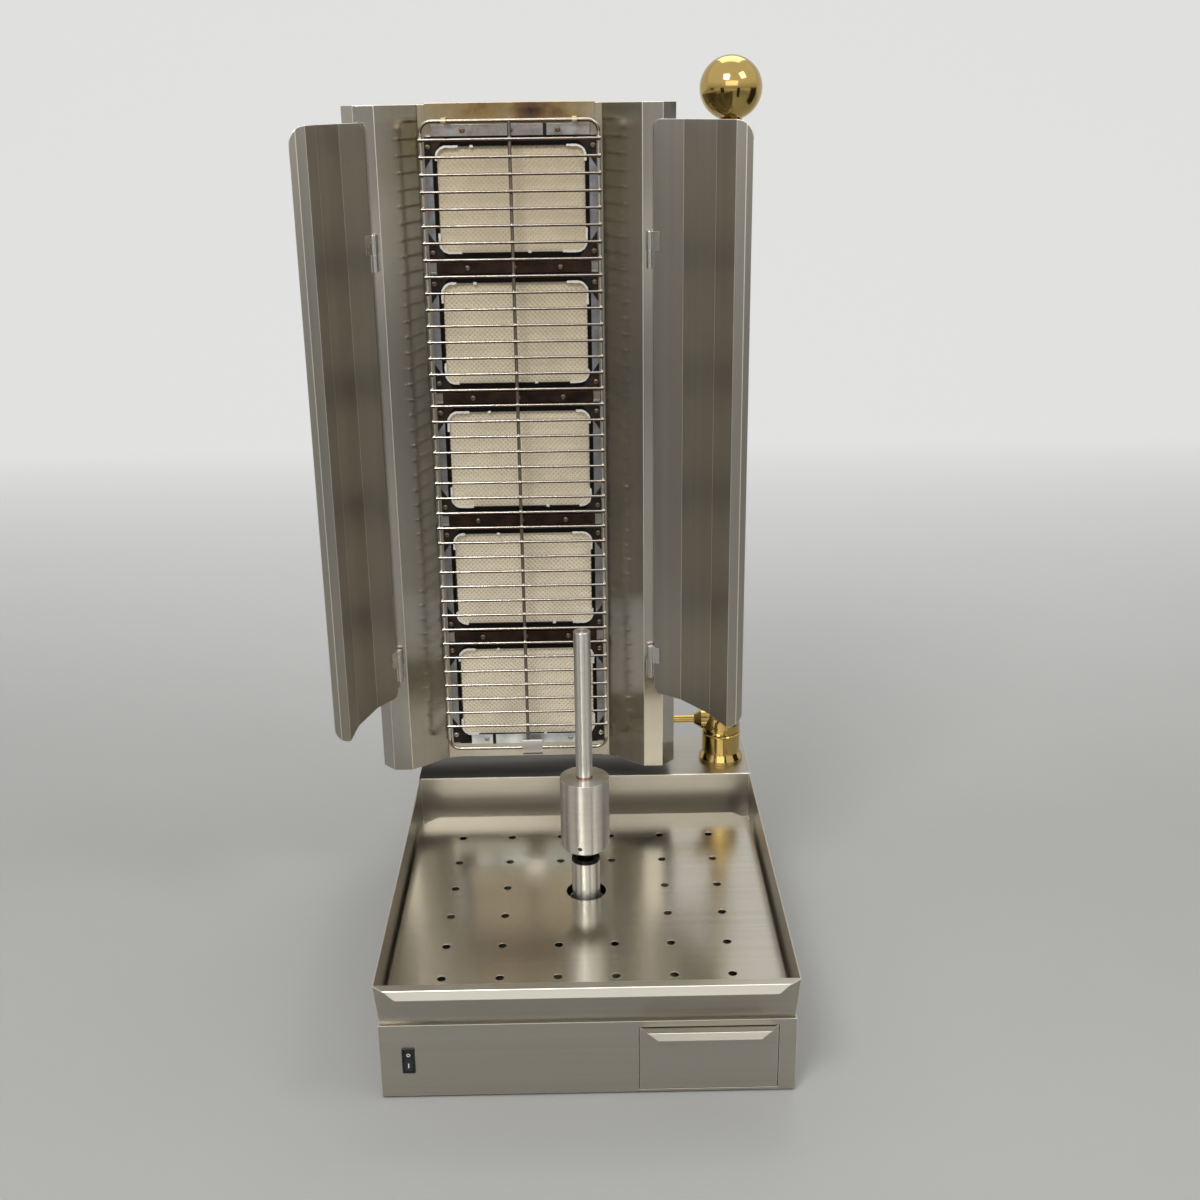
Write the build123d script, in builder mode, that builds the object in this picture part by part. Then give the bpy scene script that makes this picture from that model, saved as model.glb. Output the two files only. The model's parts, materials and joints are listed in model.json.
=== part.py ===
"""Gas doner kebab grill: base with drip tray and drive, burner tower on a swivel post, two side shields.

Millimetres, +Z up. The origin is on the floor under the middle of the base, +X is to the right and
the front of the grill looks along -Y.
"""

import os
from math import cos, hypot, radians, sin

from build123d import *

# Folded sheet and fits
sheet = 1.5
overrun = 10.0
run_gap = 0.05
rest_gap = 0.3
slide_gap = 0.8

# Base cabinet and its bottom plate
base_width = 480.0
base_depth = 624.0
base_top = 99.0
plate_thick = 3.0
plate_inset = 8.0
foot_flange = 24.0
plate_screw_radius = 2.0
plate_screw_head_radius = 4.0
plate_screw_length = 8.0
plate_screw_columns = 2
plate_screw_rows = 4

# Rear deck
deck_depth = 131.0

# Drip tray and its front lip
tray_depth = 70.5
tray_inset = 1.5
tray_setback = 4.0
rim_reach = 26.0
lip_shelf = 10.5
lip_out = 5.0
lip_fall = 9.5
lip_shelf_cut = 12.0
lip_strip_cut = 14.0
lip_corner = 6.0
collar_wall = 1.5
collar_room = 2.0
collar_rise = 17.0
drain_radius = 14.0
drain_setback = 102.0

# Perforated insert
insert_rise = 26.0
insert_side_gap = 4.5
insert_front_gap = 6.0
insert_back_gap = 33.5
insert_corner = 22.0
hole_radius = 5.0
hole_count = 6
hole_side_margin = 62.0
hole_front_margin = 49.5
hole_back_margin = 63.5
bare_rows = (2, 3)
bare_columns = (2, 3)
spindle_window_radius = 25.5

# Spit drive
spit_x = 0.0
spit_y = -64.0
spindle_radius = 18.0
spindle_rise = 78.0
socket_radius = 11.0
socket_depth = 52.0
socket_chamfer = 4.0
slot_width = 8.0
slot_depth = 10.0
journal_radius = 12.0
journal_length = 45.0
bush_wall = 5.0
gearbox_length = 90.0
gearbox_depth = 100.0
gearbox_height = 52.0
gearbox_drop = 15.5
gearbox_corner = 8.0
motor_radius = 33.0
motor_length = 112.0
motor_neck_radius = 22.0
motor_neck = 8.0
bracket_width = 60.0
bracket_drop = 42.0
bracket_flange = 26.0
bracket_screw_pitch = 40.0

# Spit
coupling_radius = 31.0
coupling_gap = 14.0
coupling_height = 97.0
coupling_edge = 3.0
grub_x = -7.0
grub_rise = 10.0
grub_radius = 2.5
grub_depth = 12.0
neck_length = 50.0
pin_room = 0.6
rod_radius = 10.5
rod_length = 196.0
rod_seat = 50.0
rod_spigot_radius = 8.0
rod_edge = 0.8

# Switch
switch_inset = 33.0
switch_z = 52.0
bezel_width = 15.0
bezel_height = 33.0
bezel_proud = 2.0
bezel_lip = 1.3
bezel_depth = 24.0
bezel_wall = 0.8
rocker_pivot_depth = 5.0
rocker_half_height = 13.0
rocker_tip = 5.4
rocker_waist = 3.4
rocker_tail = 4.0
rocker_tail_share = 0.6
rocker_angle = 9.0
rocker_pin_radius = 1.5
rocker_pin_reach = 0.7

# Grease drawer
drawer_inset = 21.0
drawer_drive_gap = 14.0
drawer_bottom = 7.0
drawer_top_drop = 9.0
drawer_length = 400.0
drawer_pan_height = 62.0
drawer_pan_inset = 6.0
drawer_floor_rise = 2.0
handle_shelf = 11.0
handle_out = 4.0
handle_fall = 8.0
handle_shelf_cut = 7.0
handle_strip_cut = 12.0
handle_end = 2.0
runner_width = 12.0
runner_wall = 2.0
runner_height = 22.0
runner_end_gap = 16.0

# Inlets at the back
gland_inset = 60.0
gland_z = 50.0
gland_radius = 8.0
gland_nut_radius = 12.0
gland_nut = 6.0
gland_reach = 16.0
inlet_rise = 29.0
inlet_radius = 10.5
inlet_bore = 6.5
inlet_nut_radius = 16.0
inlet_nut = 9.0
inlet_reach = 26.0
pipe_radius = 7.0
pipe_bend = 16.0

# Post base, swivel head, post and ball
post_side_inset = 39.0
post_back_inset = 76.0
foot_radius = 32.0
foot_thick = 5.0
foot_flare = 14.0
post_radius = 27.5
post_height = 44.5
rim_bead = 1.6
spigot_radius = 15.0
spigot_height = 16.0
stem_radius = 13.0
post_nut_radius = 24.0
post_nut_height = 10.0
dome_radius = 26.5
dome_neck_radius = 16.5
dome_height = 32.0
arm_rise = 18.5
arm_radius = 5.6
nipple_radius = 14.0
nipple_reach = 30.0
nipple_cone = 10.0
boss_radius = 9.0
boss_reach = 31.0
boss_edge = 1.2
mast_radius = 12.5
mast_seat = 8.0
ball_radius = 40.0
ball_rise = 15.0
ball_neck_radius = 15.0
ball_neck = 7.0
ball_bore_depth = 10.0
bracket_bar_width = 30.0
bracket_bar_thick = 6.0
bracket_foot_rise = 152.0
bracket_head_drop = 76.0
bracket_ring_wall = 5.0
bracket_pad = 50.0
bracket_pad_thick = 3.0

# Burner tower
tower_rise = 23.5
post_gap = 73.0
strip_setback = 36.0
strip_margin = 7.5
strip_flange = 10.0
slope_run = 49.0
fold_forward = 38.0
fold_width = 26.0
edge_run = 17.0
edge_forward = 19.0
return_length = 12.0
tower_back = 75.0
top_bar_inset = 9.0
top_bar_height = 19.0
vent_width = 60.0
vent_height = 5.0
vent_pitch = 14.0
vent_count = 4
vent_x = -60.0

# Burners
burner_count = 5
burner_gap = 37.5
burner_foot_gap = 19.25
burner_head_gap = 31.25
plaque_width = 95.0
plaque_height = 132.0
plaque_thick = 13.0
plaque_gap = 0.4
window_margin = 3.0
burner_wall = 7.0
burner_depth = 45.0
burner_floor = 5.0
plaque_ledge = 6.0
venturi_radius = 14.0
venturi_bore = 8.0
venturi_reach = 24.0
frame_border = 14.0
frame_lap = 0.5
frame_corner = 13.0
gusset_width = 26.0
gusset_height = 38.0
gusset_thick = 1.2
frame_thick = 4.0
strap_lap = 1.75
strap_end_inset = 8.5
strap_screws = 3
strap_screw_pitch = 60.0
screw_head_radius = 3.5
screw_head = 2.4
gusset_screw_side = 4.7
gusset_screw_end = 14.5
cover_screw_inset = 14.0
cover_screw_rows = 4

# Grille in front of the burners
grille_inset = 5.0
grille_foot_rise = 27.0
grille_head_drop = 20.0
grille_forward = 27.0
grille_corner = 14.0
frame_wire_radius = 2.25
rung_radius = 1.75
rung_count = 39
rung_top_drop = 22.0
rung_bottom_rise = 36.0
rung_overhang = 2.5
weld_sink = 0.7
clip_width = 28.0
clip_height = 24.0
clip_x = 6.0
hook_width = 6.0
hook_spread = 81.0
hook_fall = 9.0

# Gas train in the tower
injector_gap = 11.0
manifold_radius = 9.0
manifold_end = 18.0
valve_size = 26.0
valve_stem_radius = 3.0
valve_stem = 14.0
injector_radius = 4.0
injector_entry = 2.0
knob_radius = 20.0
knob_height = 22.0
knob_waist_share = 0.8
knob_edge = 2.0
knob_grip_width = 7.0
knob_grip_height = 6.0

# Side shields and their hinges
shield_sheet = 1.2
shield_foot_rise = 118.0
shield_head_drop = 20.0
hinge_facet = 45.0
broad_facet = 62.0
outer_facet = 48.0
flange_facet = 12.0
lip_facet = 8.0
shield_bend_angles = (16.5, 12.0, -58.0, -14.0)
left_shield_angle = 57.4
right_shield_angle = 38.7
shield_inner_corner = 10.0
shield_outer_corner = 22.0
hinge_inset = 9.0
hinge_forward = 7.0
hinge_offset = 6.0
hinge_radius = 4.5
hinge_pin_radius = 2.5
hinge_head_drop = 158.0
hinge_foot_rise = 44.0
pin_barrel = 22.0
knuckle_barrel = 24.0
leaf_width = 10.0
leaf_thick = 1.5
hinge_plate_width = 12.0

# Places that several pieces share
front_y = -base_depth / 2
back_y = base_depth / 2
left_x = -base_width / 2
right_x = base_width / 2
deck_front = back_y - deck_depth
rim_height = base_top + tray_depth
tray_half = right_x - tray_inset
tray_front = front_y + tray_setback
rim_front = front_y - rim_reach
insert_height = base_top + insert_rise
insert_back = deck_front - sheet - insert_back_gap
gearbox_top = base_top - gearbox_drop
spindle_foot = gearbox_top + rest_gap
spindle_top = base_top + spindle_rise
coupling_bottom = spindle_top + coupling_gap
switch_x = left_x + switch_inset
drawer_left = spit_x + gearbox_length / 2 + drawer_drive_gap
drawer_width = right_x - drawer_inset - drawer_left
drawer_x = drawer_left + drawer_width / 2
drawer_top = base_top - drawer_top_drop
drain_y = front_y + drain_setback
gland_x = left_x + gland_inset
inlet_z = base_top + inlet_rise
post_x = right_x - post_side_inset
post_y = back_y - post_back_inset
post_axis = Axis((post_x, post_y, 0), (0, 0, 1))
post_rim = rim_height + post_height
dome_top = post_rim + dome_height
arm_height = post_rim + arm_rise
frame_half_width = plaque_width - frame_lap + frame_border
frame_half_height = plaque_height / 2 - frame_lap + frame_border
strip_half = frame_half_width + strip_margin
fold_half = strip_half + slope_run
front_half = fold_half + fold_width
edge_half = front_half + edge_run
tower_x = post_x - post_gap - edge_half
strip_y = post_y - strip_setback
back_plate_y = strip_y + tower_back
burner_pitch = plaque_height + burner_gap
tower_height = burner_foot_gap + burner_count * burner_pitch + burner_head_gap
tower_bottom = rim_height + tower_rise
tower_top = tower_bottom + tower_height
first_burner = tower_bottom + burner_foot_gap + burner_pitch / 2
burner_levels = [first_burner + index * burner_pitch for index in range(burner_count)]
box_width = 2 * (plaque_width + burner_wall)
venturi_x = tower_x + box_width / 2
venturi_mouth = venturi_x + venturi_reach
manifold_axis_x = venturi_mouth + injector_gap + valve_size / 2
manifold_y = post_y
ball_centre = tower_top + ball_rise
bracket_heights = (tower_bottom + bracket_foot_rise, tower_top - bracket_head_drop)
grille_width = 2 * (strip_half - grille_inset)
grille_bottom = tower_bottom + grille_foot_rise
grille_top = tower_top - grille_head_drop
shield_bottom = tower_bottom + shield_foot_rise
shield_top = tower_top - shield_head_drop
shield_facets = (hinge_facet, broad_facet, outer_facet, flange_facet, lip_facet)
hinge_half = fold_half + hinge_inset
hinge_y = strip_y - fold_forward - hinge_forward
hinge_heights = (shield_top - hinge_head_drop, shield_bottom + hinge_foot_rise)
standing = (Align.CENTER, Align.CENTER, Align.MIN)
hanging = (Align.CENTER, Align.CENTER, Align.MAX)


def save(piece, name):
    """Label a finished piece and write its file."""
    piece.part.label = name
    export_step(piece.part, f"parts/{name}.step")


def bent_sheet(points, thickness):
    """Outline of a folded sheet: the points of one face, then the other face on the left, mitred."""
    normals = []
    for start, end in zip(points, points[1:]):
        run = hypot(end[0] - start[0], end[1] - start[1])
        normals.append((-(end[1] - start[1]) / run, (end[0] - start[0]) / run))
    pairs = list(zip([normals[0]] + normals, normals + [normals[-1]]))
    other = []
    for (x, y), (before, after) in zip(points, pairs):
        share = thickness / (1 + before[0] * after[0] + before[1] * after[1])
        other.append((x + (before[0] + after[0]) * share, y + (before[1] + after[1]) * share))
    return list(points) + other[::-1]


def outline(points):
    """Closed face through the points, in the sketch that is open."""
    Polygon(*points, align=None)


def upright(x, y):
    """Standing plane through a vertical axis: its local x is the radius, its local y the height."""
    return Plane(origin=(x, y, 0), x_dir=(1, 0, 0), z_dir=(0, -1, 0))


def facing_front(y):
    """Standing plane at a depth, looking to the front: local x is X, local y is Z."""
    return Plane(origin=(0, y, 0), x_dir=(1, 0, 0), z_dir=(0, -1, 0))


def facing_right(x):
    """Standing plane at a side, looking to the right: local x is Y, local y is Z."""
    return Plane(origin=(x, 0, 0), x_dir=(0, 1, 0), z_dir=(1, 0, 0))


def tower_point(across, forward):
    """Plan position of a point of the tower, across from its middle and forward of the plaques."""
    return (tower_x + across, strip_y - forward)


os.makedirs("parts", exist_ok=True)

# Base cabinet: folded box with an open, flanged underside
plate_screw_x = base_width / 2 - (plate_inset + foot_flange) / 2
plate_screw_y = base_depth / 2 - (plate_inset + foot_flange) / 2
plate_screw_places = GridLocations(
    2 * plate_screw_x / (plate_screw_columns - 1),
    2 * plate_screw_y / (plate_screw_rows - 1),
    plate_screw_columns,
    plate_screw_rows,
)
countersink = plate_screw_head_radius - plate_screw_radius
bush_radius = spindle_radius + run_gap + bush_wall
cutout_width = bezel_width - 2 * bezel_lip
cutout_height = bezel_height - 2 * bezel_lip
drawer_height = drawer_top - drawer_bottom

with BuildPart() as base_cabinet:
    with BuildSketch(Plane.XY.offset(plate_thick)):
        Rectangle(base_width, base_depth)
    extrude(amount=base_top - plate_thick)
    with BuildSketch(Plane.XY.offset(plate_thick + sheet)):
        Rectangle(base_width - 2 * sheet, base_depth - 2 * sheet)
    extrude(amount=base_top - plate_thick - 2 * sheet, mode=Mode.SUBTRACT)
    with BuildSketch(Plane.XY.offset(plate_thick)):
        Rectangle(base_width - 2 * foot_flange, base_depth - 2 * foot_flange)
        with plate_screw_places:
            Circle(plate_screw_radius)
    extrude(amount=sheet, mode=Mode.SUBTRACT)
    with BuildSketch(facing_front(front_y)):
        with Locations((drawer_x, drawer_bottom + drawer_height / 2)):
            Rectangle(drawer_width + 2 * slide_gap, drawer_height + 2 * slide_gap)
        with Locations((switch_x, switch_z)):
            Rectangle(cutout_width, cutout_height)
    extrude(amount=-sheet, mode=Mode.SUBTRACT)
    with BuildSketch(facing_front(back_y)):
        with Locations((gland_x, gland_z)):
            Circle(gland_radius)
    extrude(amount=sheet, mode=Mode.SUBTRACT)
    with BuildSketch(Plane.XY.offset(base_top)):
        with Locations((spit_x, spit_y)):
            Circle(bush_radius)
        with Locations((drawer_x, drain_y)):
            Circle(drain_radius)
    extrude(amount=-sheet, mode=Mode.SUBTRACT)
save(base_cabinet, "base_cabinet")

# Bottom plate, set in from the walls so that they stand on a shadow line
with BuildPart() as bottom_plate:
    with BuildSketch():
        Rectangle(base_width - 2 * plate_inset, base_depth - 2 * plate_inset)
    extrude(amount=plate_thick)
    with plate_screw_places:
        Cylinder(plate_screw_radius, plate_thick, align=standing, mode=Mode.SUBTRACT)
        Cone(plate_screw_head_radius, plate_screw_radius, countersink, align=standing, mode=Mode.SUBTRACT)
save(bottom_plate, "bottom_plate")

with BuildPart() as plate_screws:
    with plate_screw_places:
        Cylinder(plate_screw_radius, plate_screw_length, align=standing)
        Cone(plate_screw_head_radius, plate_screw_radius, countersink, align=standing)
save(plate_screws, "plate_screws")

# Rear deck: folded cover behind the tray, open below
with BuildPart() as rear_deck:
    with BuildSketch(Plane.XY.offset(base_top)):
        with Locations((0, back_y - deck_depth / 2)):
            Rectangle(base_width, deck_depth)
    extrude(amount=rim_height - base_top)
    with BuildSketch(Plane.XY.offset(base_top)):
        with Locations((0, back_y - deck_depth / 2)):
            Rectangle(base_width - 2 * sheet, deck_depth - 2 * sheet)
    extrude(amount=rim_height - base_top - sheet, mode=Mode.SUBTRACT)
    with BuildSketch(Plane.XY.offset(rim_height)):
        with Locations((post_x, post_y)):
            Circle(stem_radius)
    extrude(amount=-sheet, mode=Mode.SUBTRACT)
    with BuildSketch(facing_front(back_y)):
        with Locations((post_x, inlet_z)):
            Circle(inlet_radius)
    extrude(amount=sheet, mode=Mode.SUBTRACT)
save(rear_deck, "rear_deck")

# Drip tray: pan with a leaning front wall, a bent lip and a collar round the spindle
tray_rise = rim_height - base_top
tray_lean = (tray_front - rim_front) / tray_rise
wall_run = sheet * hypot(1, tray_lean)
lip_front = rim_front - lip_shelf
collar_bore = spindle_radius + collar_room
lip_length = hypot(lip_out, lip_fall)
lip_plane = Plane(
    origin=(0, lip_front, rim_height),
    x_dir=(1, 0, 0),
    z_dir=(0, -lip_fall / lip_length, lip_out / lip_length),
)
shelf_half = tray_half - lip_shelf_cut
strip_half_width = shelf_half - lip_strip_cut

with BuildPart() as drip_tray:
    with BuildSketch(facing_right(-tray_half)):
        outline([
            (tray_front, base_top),
            (deck_front, base_top),
            (deck_front, rim_height),
            (rim_front, rim_height),
        ])
    extrude(amount=2 * tray_half)
    with BuildSketch(facing_right(sheet - tray_half)):
        outline([
            (tray_front - tray_lean * sheet + wall_run, base_top + sheet),
            (deck_front - sheet, base_top + sheet),
            (deck_front - sheet, rim_height + overrun),
            (rim_front - tray_lean * overrun + wall_run, rim_height + overrun),
        ])
    extrude(amount=2 * (tray_half - sheet), mode=Mode.SUBTRACT)
    with BuildSketch(Plane.XY.offset(rim_height)):
        outline([
            (-tray_half, rim_front + wall_run),
            (tray_half, rim_front + wall_run),
            (tray_half, rim_front),
            (shelf_half, lip_front),
            (-shelf_half, lip_front),
            (-tray_half, rim_front),
        ])
    extrude(amount=-sheet)
    with BuildSketch(lip_plane) as lip_strip:
        outline([
            (-shelf_half, 0),
            (shelf_half, 0),
            (strip_half_width, -lip_length),
            (-strip_half_width, -lip_length),
        ])
        fillet(lip_strip.vertices().group_by(Axis.Y)[0], lip_corner)
    extrude(amount=-sheet)
    with Locations((spit_x, spit_y, base_top)):
        Cylinder(collar_bore + collar_wall, collar_rise, align=standing)
        Cylinder(collar_bore, collar_rise, align=standing, mode=Mode.SUBTRACT)
    with Locations((drawer_x, drain_y, base_top)):
        Cylinder(drain_radius, sheet, align=standing, mode=Mode.SUBTRACT)
save(drip_tray, "drip_tray")

# Perforated insert: inverted pan on the tray floor, back corners clipped
insert_half = tray_half - sheet - insert_side_gap
insert_front = tray_front - tray_lean * (insert_height - base_top) + wall_run + insert_front_gap
tray_floor = base_top + sheet
insert_run = tray_lean * (insert_height - tray_floor)
column_pitch = 2 * (insert_half - hole_side_margin) / (hole_count - 1)
back_row = insert_back - hole_back_margin
row_pitch = (back_row - tray_front - hole_front_margin) / (hole_count - 1)
insert_holes = [
    (column_pitch * (column - (hole_count - 1) / 2), back_row - row_pitch * row)
    for row in range(hole_count)
    for column in range(hole_count)
    if row not in bare_rows or column not in bare_columns
]

with BuildPart() as perforated_insert:
    with BuildSketch(facing_right(-insert_half)):
        outline([
            (insert_front + insert_run, tray_floor),
            (insert_back, tray_floor),
            (insert_back, insert_height),
            (insert_front, insert_height),
        ])
    extrude(amount=2 * insert_half)
    with BuildSketch(facing_right(sheet - insert_half)):
        outline([
            (insert_front + insert_run + wall_run, tray_floor),
            (insert_back - sheet, tray_floor),
            (insert_back - sheet, insert_height - sheet),
            (insert_front + tray_lean * sheet + wall_run, insert_height - sheet),
        ])
    extrude(amount=2 * (insert_half - sheet), mode=Mode.SUBTRACT)
    with BuildSketch(Plane.XY.offset(insert_height)):
        for side in (-1, 1):
            outline([
                (side * insert_half, insert_back),
                (side * (insert_half - insert_corner), insert_back),
                (side * insert_half, insert_back - insert_corner),
            ])
    extrude(amount=tray_floor - insert_height, mode=Mode.SUBTRACT)
    with BuildSketch(Plane.XY.offset(insert_height)):
        with Locations(*insert_holes):
            Circle(hole_radius)
        with Locations((spit_x, spit_y)):
            Circle(spindle_window_radius)
    extrude(amount=-sheet, mode=Mode.SUBTRACT)
save(perforated_insert, "perforated_insert")

# Spit drive: gearbox hung under the cabinet top, motor at its side, bush and spindle above it
with BuildPart() as gearbox:
    with BuildSketch(Plane.XY.offset(gearbox_top)):
        with Locations((spit_x, spit_y)):
            RectangleRounded(gearbox_length, gearbox_depth, gearbox_corner)
    extrude(amount=-gearbox_height)
    with Locations((spit_x, spit_y, gearbox_top - journal_length)):
        Cylinder(journal_radius + run_gap, journal_length, align=standing, mode=Mode.SUBTRACT)
save(gearbox, "gearbox")

motor_z = gearbox_top - gearbox_height / 2
motor_face = spit_x - gearbox_length / 2
with BuildPart() as drive_motor:
    with BuildSketch(facing_right(motor_face)):
        with Locations((spit_y, motor_z)):
            Circle(motor_neck_radius)
    extrude(amount=-motor_neck)
    with BuildSketch(facing_right(motor_face - motor_neck)):
        with Locations((spit_y, motor_z)):
            Circle(motor_radius)
    extrude(amount=-motor_length)
save(drive_motor, "drive_motor")

bracket_top = base_top - sheet
bracket_faces = [(-1, spit_y - gearbox_depth / 2), (1, spit_y + gearbox_depth / 2)]
with BuildPart() as motor_bracket:
    for side, face in bracket_faces:
        with BuildSketch(facing_right(spit_x - bracket_width / 2)):
            outline(bent_sheet(
                [
                    (face, bracket_top - bracket_drop),
                    (face, bracket_top),
                    (face + side * bracket_flange, bracket_top),
                ],
                -side * sheet,
            ))
        extrude(amount=bracket_width)
save(motor_bracket, "motor_bracket")

bracket_screw_z = (gearbox_top + bracket_top - bracket_drop) / 2
with BuildPart() as motor_screws:
    for side, face in bracket_faces:
        with BuildSketch(facing_front(face + side * sheet)):
            with Locations((spit_x, bracket_screw_z)):
                with GridLocations(bracket_screw_pitch, bracket_screw_pitch, 2, 1):
                    Circle(screw_head_radius)
        extrude(amount=-side * screw_head)
save(motor_screws, "motor_screws")

with BuildPart() as spindle_bush:
    with Locations((spit_x, spit_y, gearbox_top)):
        Cylinder(bush_radius, base_top - gearbox_top, align=standing)
        Cylinder(spindle_radius + run_gap, base_top - gearbox_top, align=standing, mode=Mode.SUBTRACT)
save(spindle_bush, "spindle_bush")

with BuildPart() as drive_spindle:
    with Locations((spit_x, spit_y, spindle_foot)):
        Cylinder(spindle_radius, spindle_top - spindle_foot, align=standing)
        Cylinder(journal_radius, journal_length - rest_gap, align=hanging)
    with Locations((spit_x, spit_y, spindle_top)):
        Cylinder(socket_radius + run_gap, socket_depth, align=hanging, mode=Mode.SUBTRACT)
        Cone(
            socket_radius,
            socket_radius + socket_chamfer,
            socket_chamfer,
            align=hanging,
            mode=Mode.SUBTRACT,
        )
        Box(2 * spindle_radius + overrun, slot_width, slot_depth, align=hanging, mode=Mode.SUBTRACT)
save(drive_spindle, "drive_spindle")

# Spit: turned coupling with a neck that drops into the spindle, cross pin and plain rod
coupling_top = coupling_bottom + coupling_height
pin_radius = slot_width / 2 - pin_room / 2
pin_z = spindle_top - slot_depth + rest_gap + pin_radius
with BuildPart() as spit_coupling:
    with Locations((spit_x, spit_y, coupling_bottom)):
        Cylinder(coupling_radius, coupling_height, align=standing)
    chamfer(spit_coupling.edges().group_by(Axis.Z)[0], coupling_edge)
    with Locations((spit_x, spit_y, coupling_bottom)):
        Cylinder(socket_radius, neck_length, align=hanging)
    with Locations((spit_x, spit_y, coupling_top)):
        Cylinder(rod_spigot_radius, rod_seat, align=hanging, mode=Mode.SUBTRACT)
    with BuildSketch(facing_right(spit_x - coupling_radius)):
        with Locations((spit_y, pin_z)):
            Circle(pin_radius)
    extrude(amount=2 * coupling_radius, mode=Mode.SUBTRACT)
    with BuildSketch(facing_front(spit_y - coupling_radius)):
        with Locations((spit_x + grub_x, coupling_bottom + grub_rise)):
            Circle(grub_radius)
    extrude(amount=-grub_depth, mode=Mode.SUBTRACT)
save(spit_coupling, "spit_coupling")

with BuildPart() as drive_pin:
    with BuildSketch(facing_right(spit_x - spindle_radius)):
        with Locations((spit_y, pin_z)):
            Circle(pin_radius)
    extrude(amount=2 * spindle_radius)
save(drive_pin, "drive_pin")

with BuildPart() as spit_rod:
    with Locations((spit_x, spit_y, coupling_top)):
        Cylinder(rod_radius, rod_length, align=standing)
        Cylinder(rod_spigot_radius, rod_seat, align=hanging)
    chamfer(spit_rod.edges().group_by(Axis.Z)[-1], rod_edge)
save(spit_rod, "spit_rod")

# Rocker switch
bezel_bore_width = cutout_width - 2 * bezel_wall
bezel_bore_height = cutout_height - 2 * bezel_wall
pivot_y = front_y - bezel_proud + rocker_pivot_depth
with BuildPart() as switch_bezel:
    with BuildSketch(facing_front(front_y)):
        with Locations((switch_x, switch_z)):
            RectangleRounded(bezel_width, bezel_height, bezel_lip)
    extrude(amount=bezel_proud)
    with BuildSketch(facing_front(front_y)):
        with Locations((switch_x, switch_z)):
            Rectangle(cutout_width, cutout_height)
    extrude(amount=-bezel_depth)
    with BuildSketch(facing_front(front_y - bezel_proud)):
        with Locations((switch_x, switch_z)):
            Rectangle(bezel_bore_width, bezel_bore_height)
    extrude(amount=-(bezel_depth + bezel_proud - bezel_lip), mode=Mode.SUBTRACT)
    with BuildSketch(facing_right(switch_x - cutout_width / 2)):
        with Locations((pivot_y, switch_z)):
            Circle(rocker_pin_radius + run_gap)
    extrude(amount=cutout_width, mode=Mode.SUBTRACT)
save(switch_bezel, "switch_bezel")


def rocker_point(forward, up):
    """Point of the rocker's side outline, tipped about its pivot to the off position."""
    turn = radians(rocker_angle)
    return (
        pivot_y - forward * cos(turn) + up * sin(turn),
        switch_z + forward * sin(turn) + up * cos(turn),
    )


rocker_width = bezel_bore_width - 2 * rest_gap
with BuildPart() as switch_rocker:
    with BuildSketch(facing_right(switch_x - rocker_width / 2)):
        outline([
            rocker_point(rocker_tip, rocker_half_height),
            rocker_point(rocker_waist, 0),
            rocker_point(rocker_tip, -rocker_half_height),
            rocker_point(-rocker_tail, -rocker_half_height * rocker_tail_share),
            rocker_point(-rocker_tail, rocker_half_height * rocker_tail_share),
        ])
    extrude(amount=rocker_width)
    with BuildSketch(facing_right(switch_x - rocker_width / 2 - rocker_pin_reach)):
        with Locations((pivot_y, switch_z)):
            Circle(rocker_pin_radius)
    extrude(amount=rocker_width + 2 * rocker_pin_reach)
save(switch_rocker, "switch_rocker")

# Grease drawer: flush front with a bent lip, pan behind it, runners on the bottom plate
shelf_end = drawer_width / 2 - handle_end
handle_front = front_y - handle_shelf
handle_length = hypot(handle_out, handle_fall)
handle_plane = Plane(
    origin=(drawer_x, handle_front, drawer_top),
    x_dir=(1, 0, 0),
    z_dir=(0, -handle_fall / handle_length, handle_out / handle_length),
)
handle_half = shelf_end - handle_shelf_cut
with BuildPart() as drawer_front:
    with BuildSketch(facing_front(front_y)):
        with Locations((drawer_x, drawer_bottom + drawer_height / 2)):
            Rectangle(drawer_width, drawer_height)
    extrude(amount=-sheet)
    with BuildSketch(Plane.XY.offset(drawer_top)):
        outline([
            (drawer_x - shelf_end, front_y + sheet),
            (drawer_x + shelf_end, front_y + sheet),
            (drawer_x + shelf_end, front_y),
            (drawer_x + handle_half, handle_front),
            (drawer_x - handle_half, handle_front),
            (drawer_x - shelf_end, front_y),
        ])
    extrude(amount=-sheet)
    with BuildSketch(handle_plane):
        outline([
            (-handle_half, 0),
            (handle_half, 0),
            (handle_half - handle_strip_cut, -handle_length),
            (handle_strip_cut - handle_half, -handle_length),
        ])
    extrude(amount=-sheet)
save(drawer_front, "drawer_front")

pan_width = drawer_width - 2 * drawer_pan_inset
pan_bottom = drawer_bottom + drawer_floor_rise
pan_back = front_y + drawer_length
with BuildPart() as drawer_pan:
    with BuildSketch(Plane.XY.offset(pan_bottom)):
        with Locations((drawer_x, (front_y + sheet + pan_back) / 2)):
            Rectangle(pan_width, drawer_length - sheet)
    extrude(amount=drawer_pan_height)
    with BuildSketch(Plane.XY.offset(pan_bottom + sheet)):
        with Locations((drawer_x, (front_y + sheet + pan_back) / 2)):
            Rectangle(pan_width - 2 * sheet, drawer_length - 3 * sheet)
    extrude(amount=drawer_pan_height, mode=Mode.SUBTRACT)
save(drawer_pan, "drawer_pan")

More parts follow.
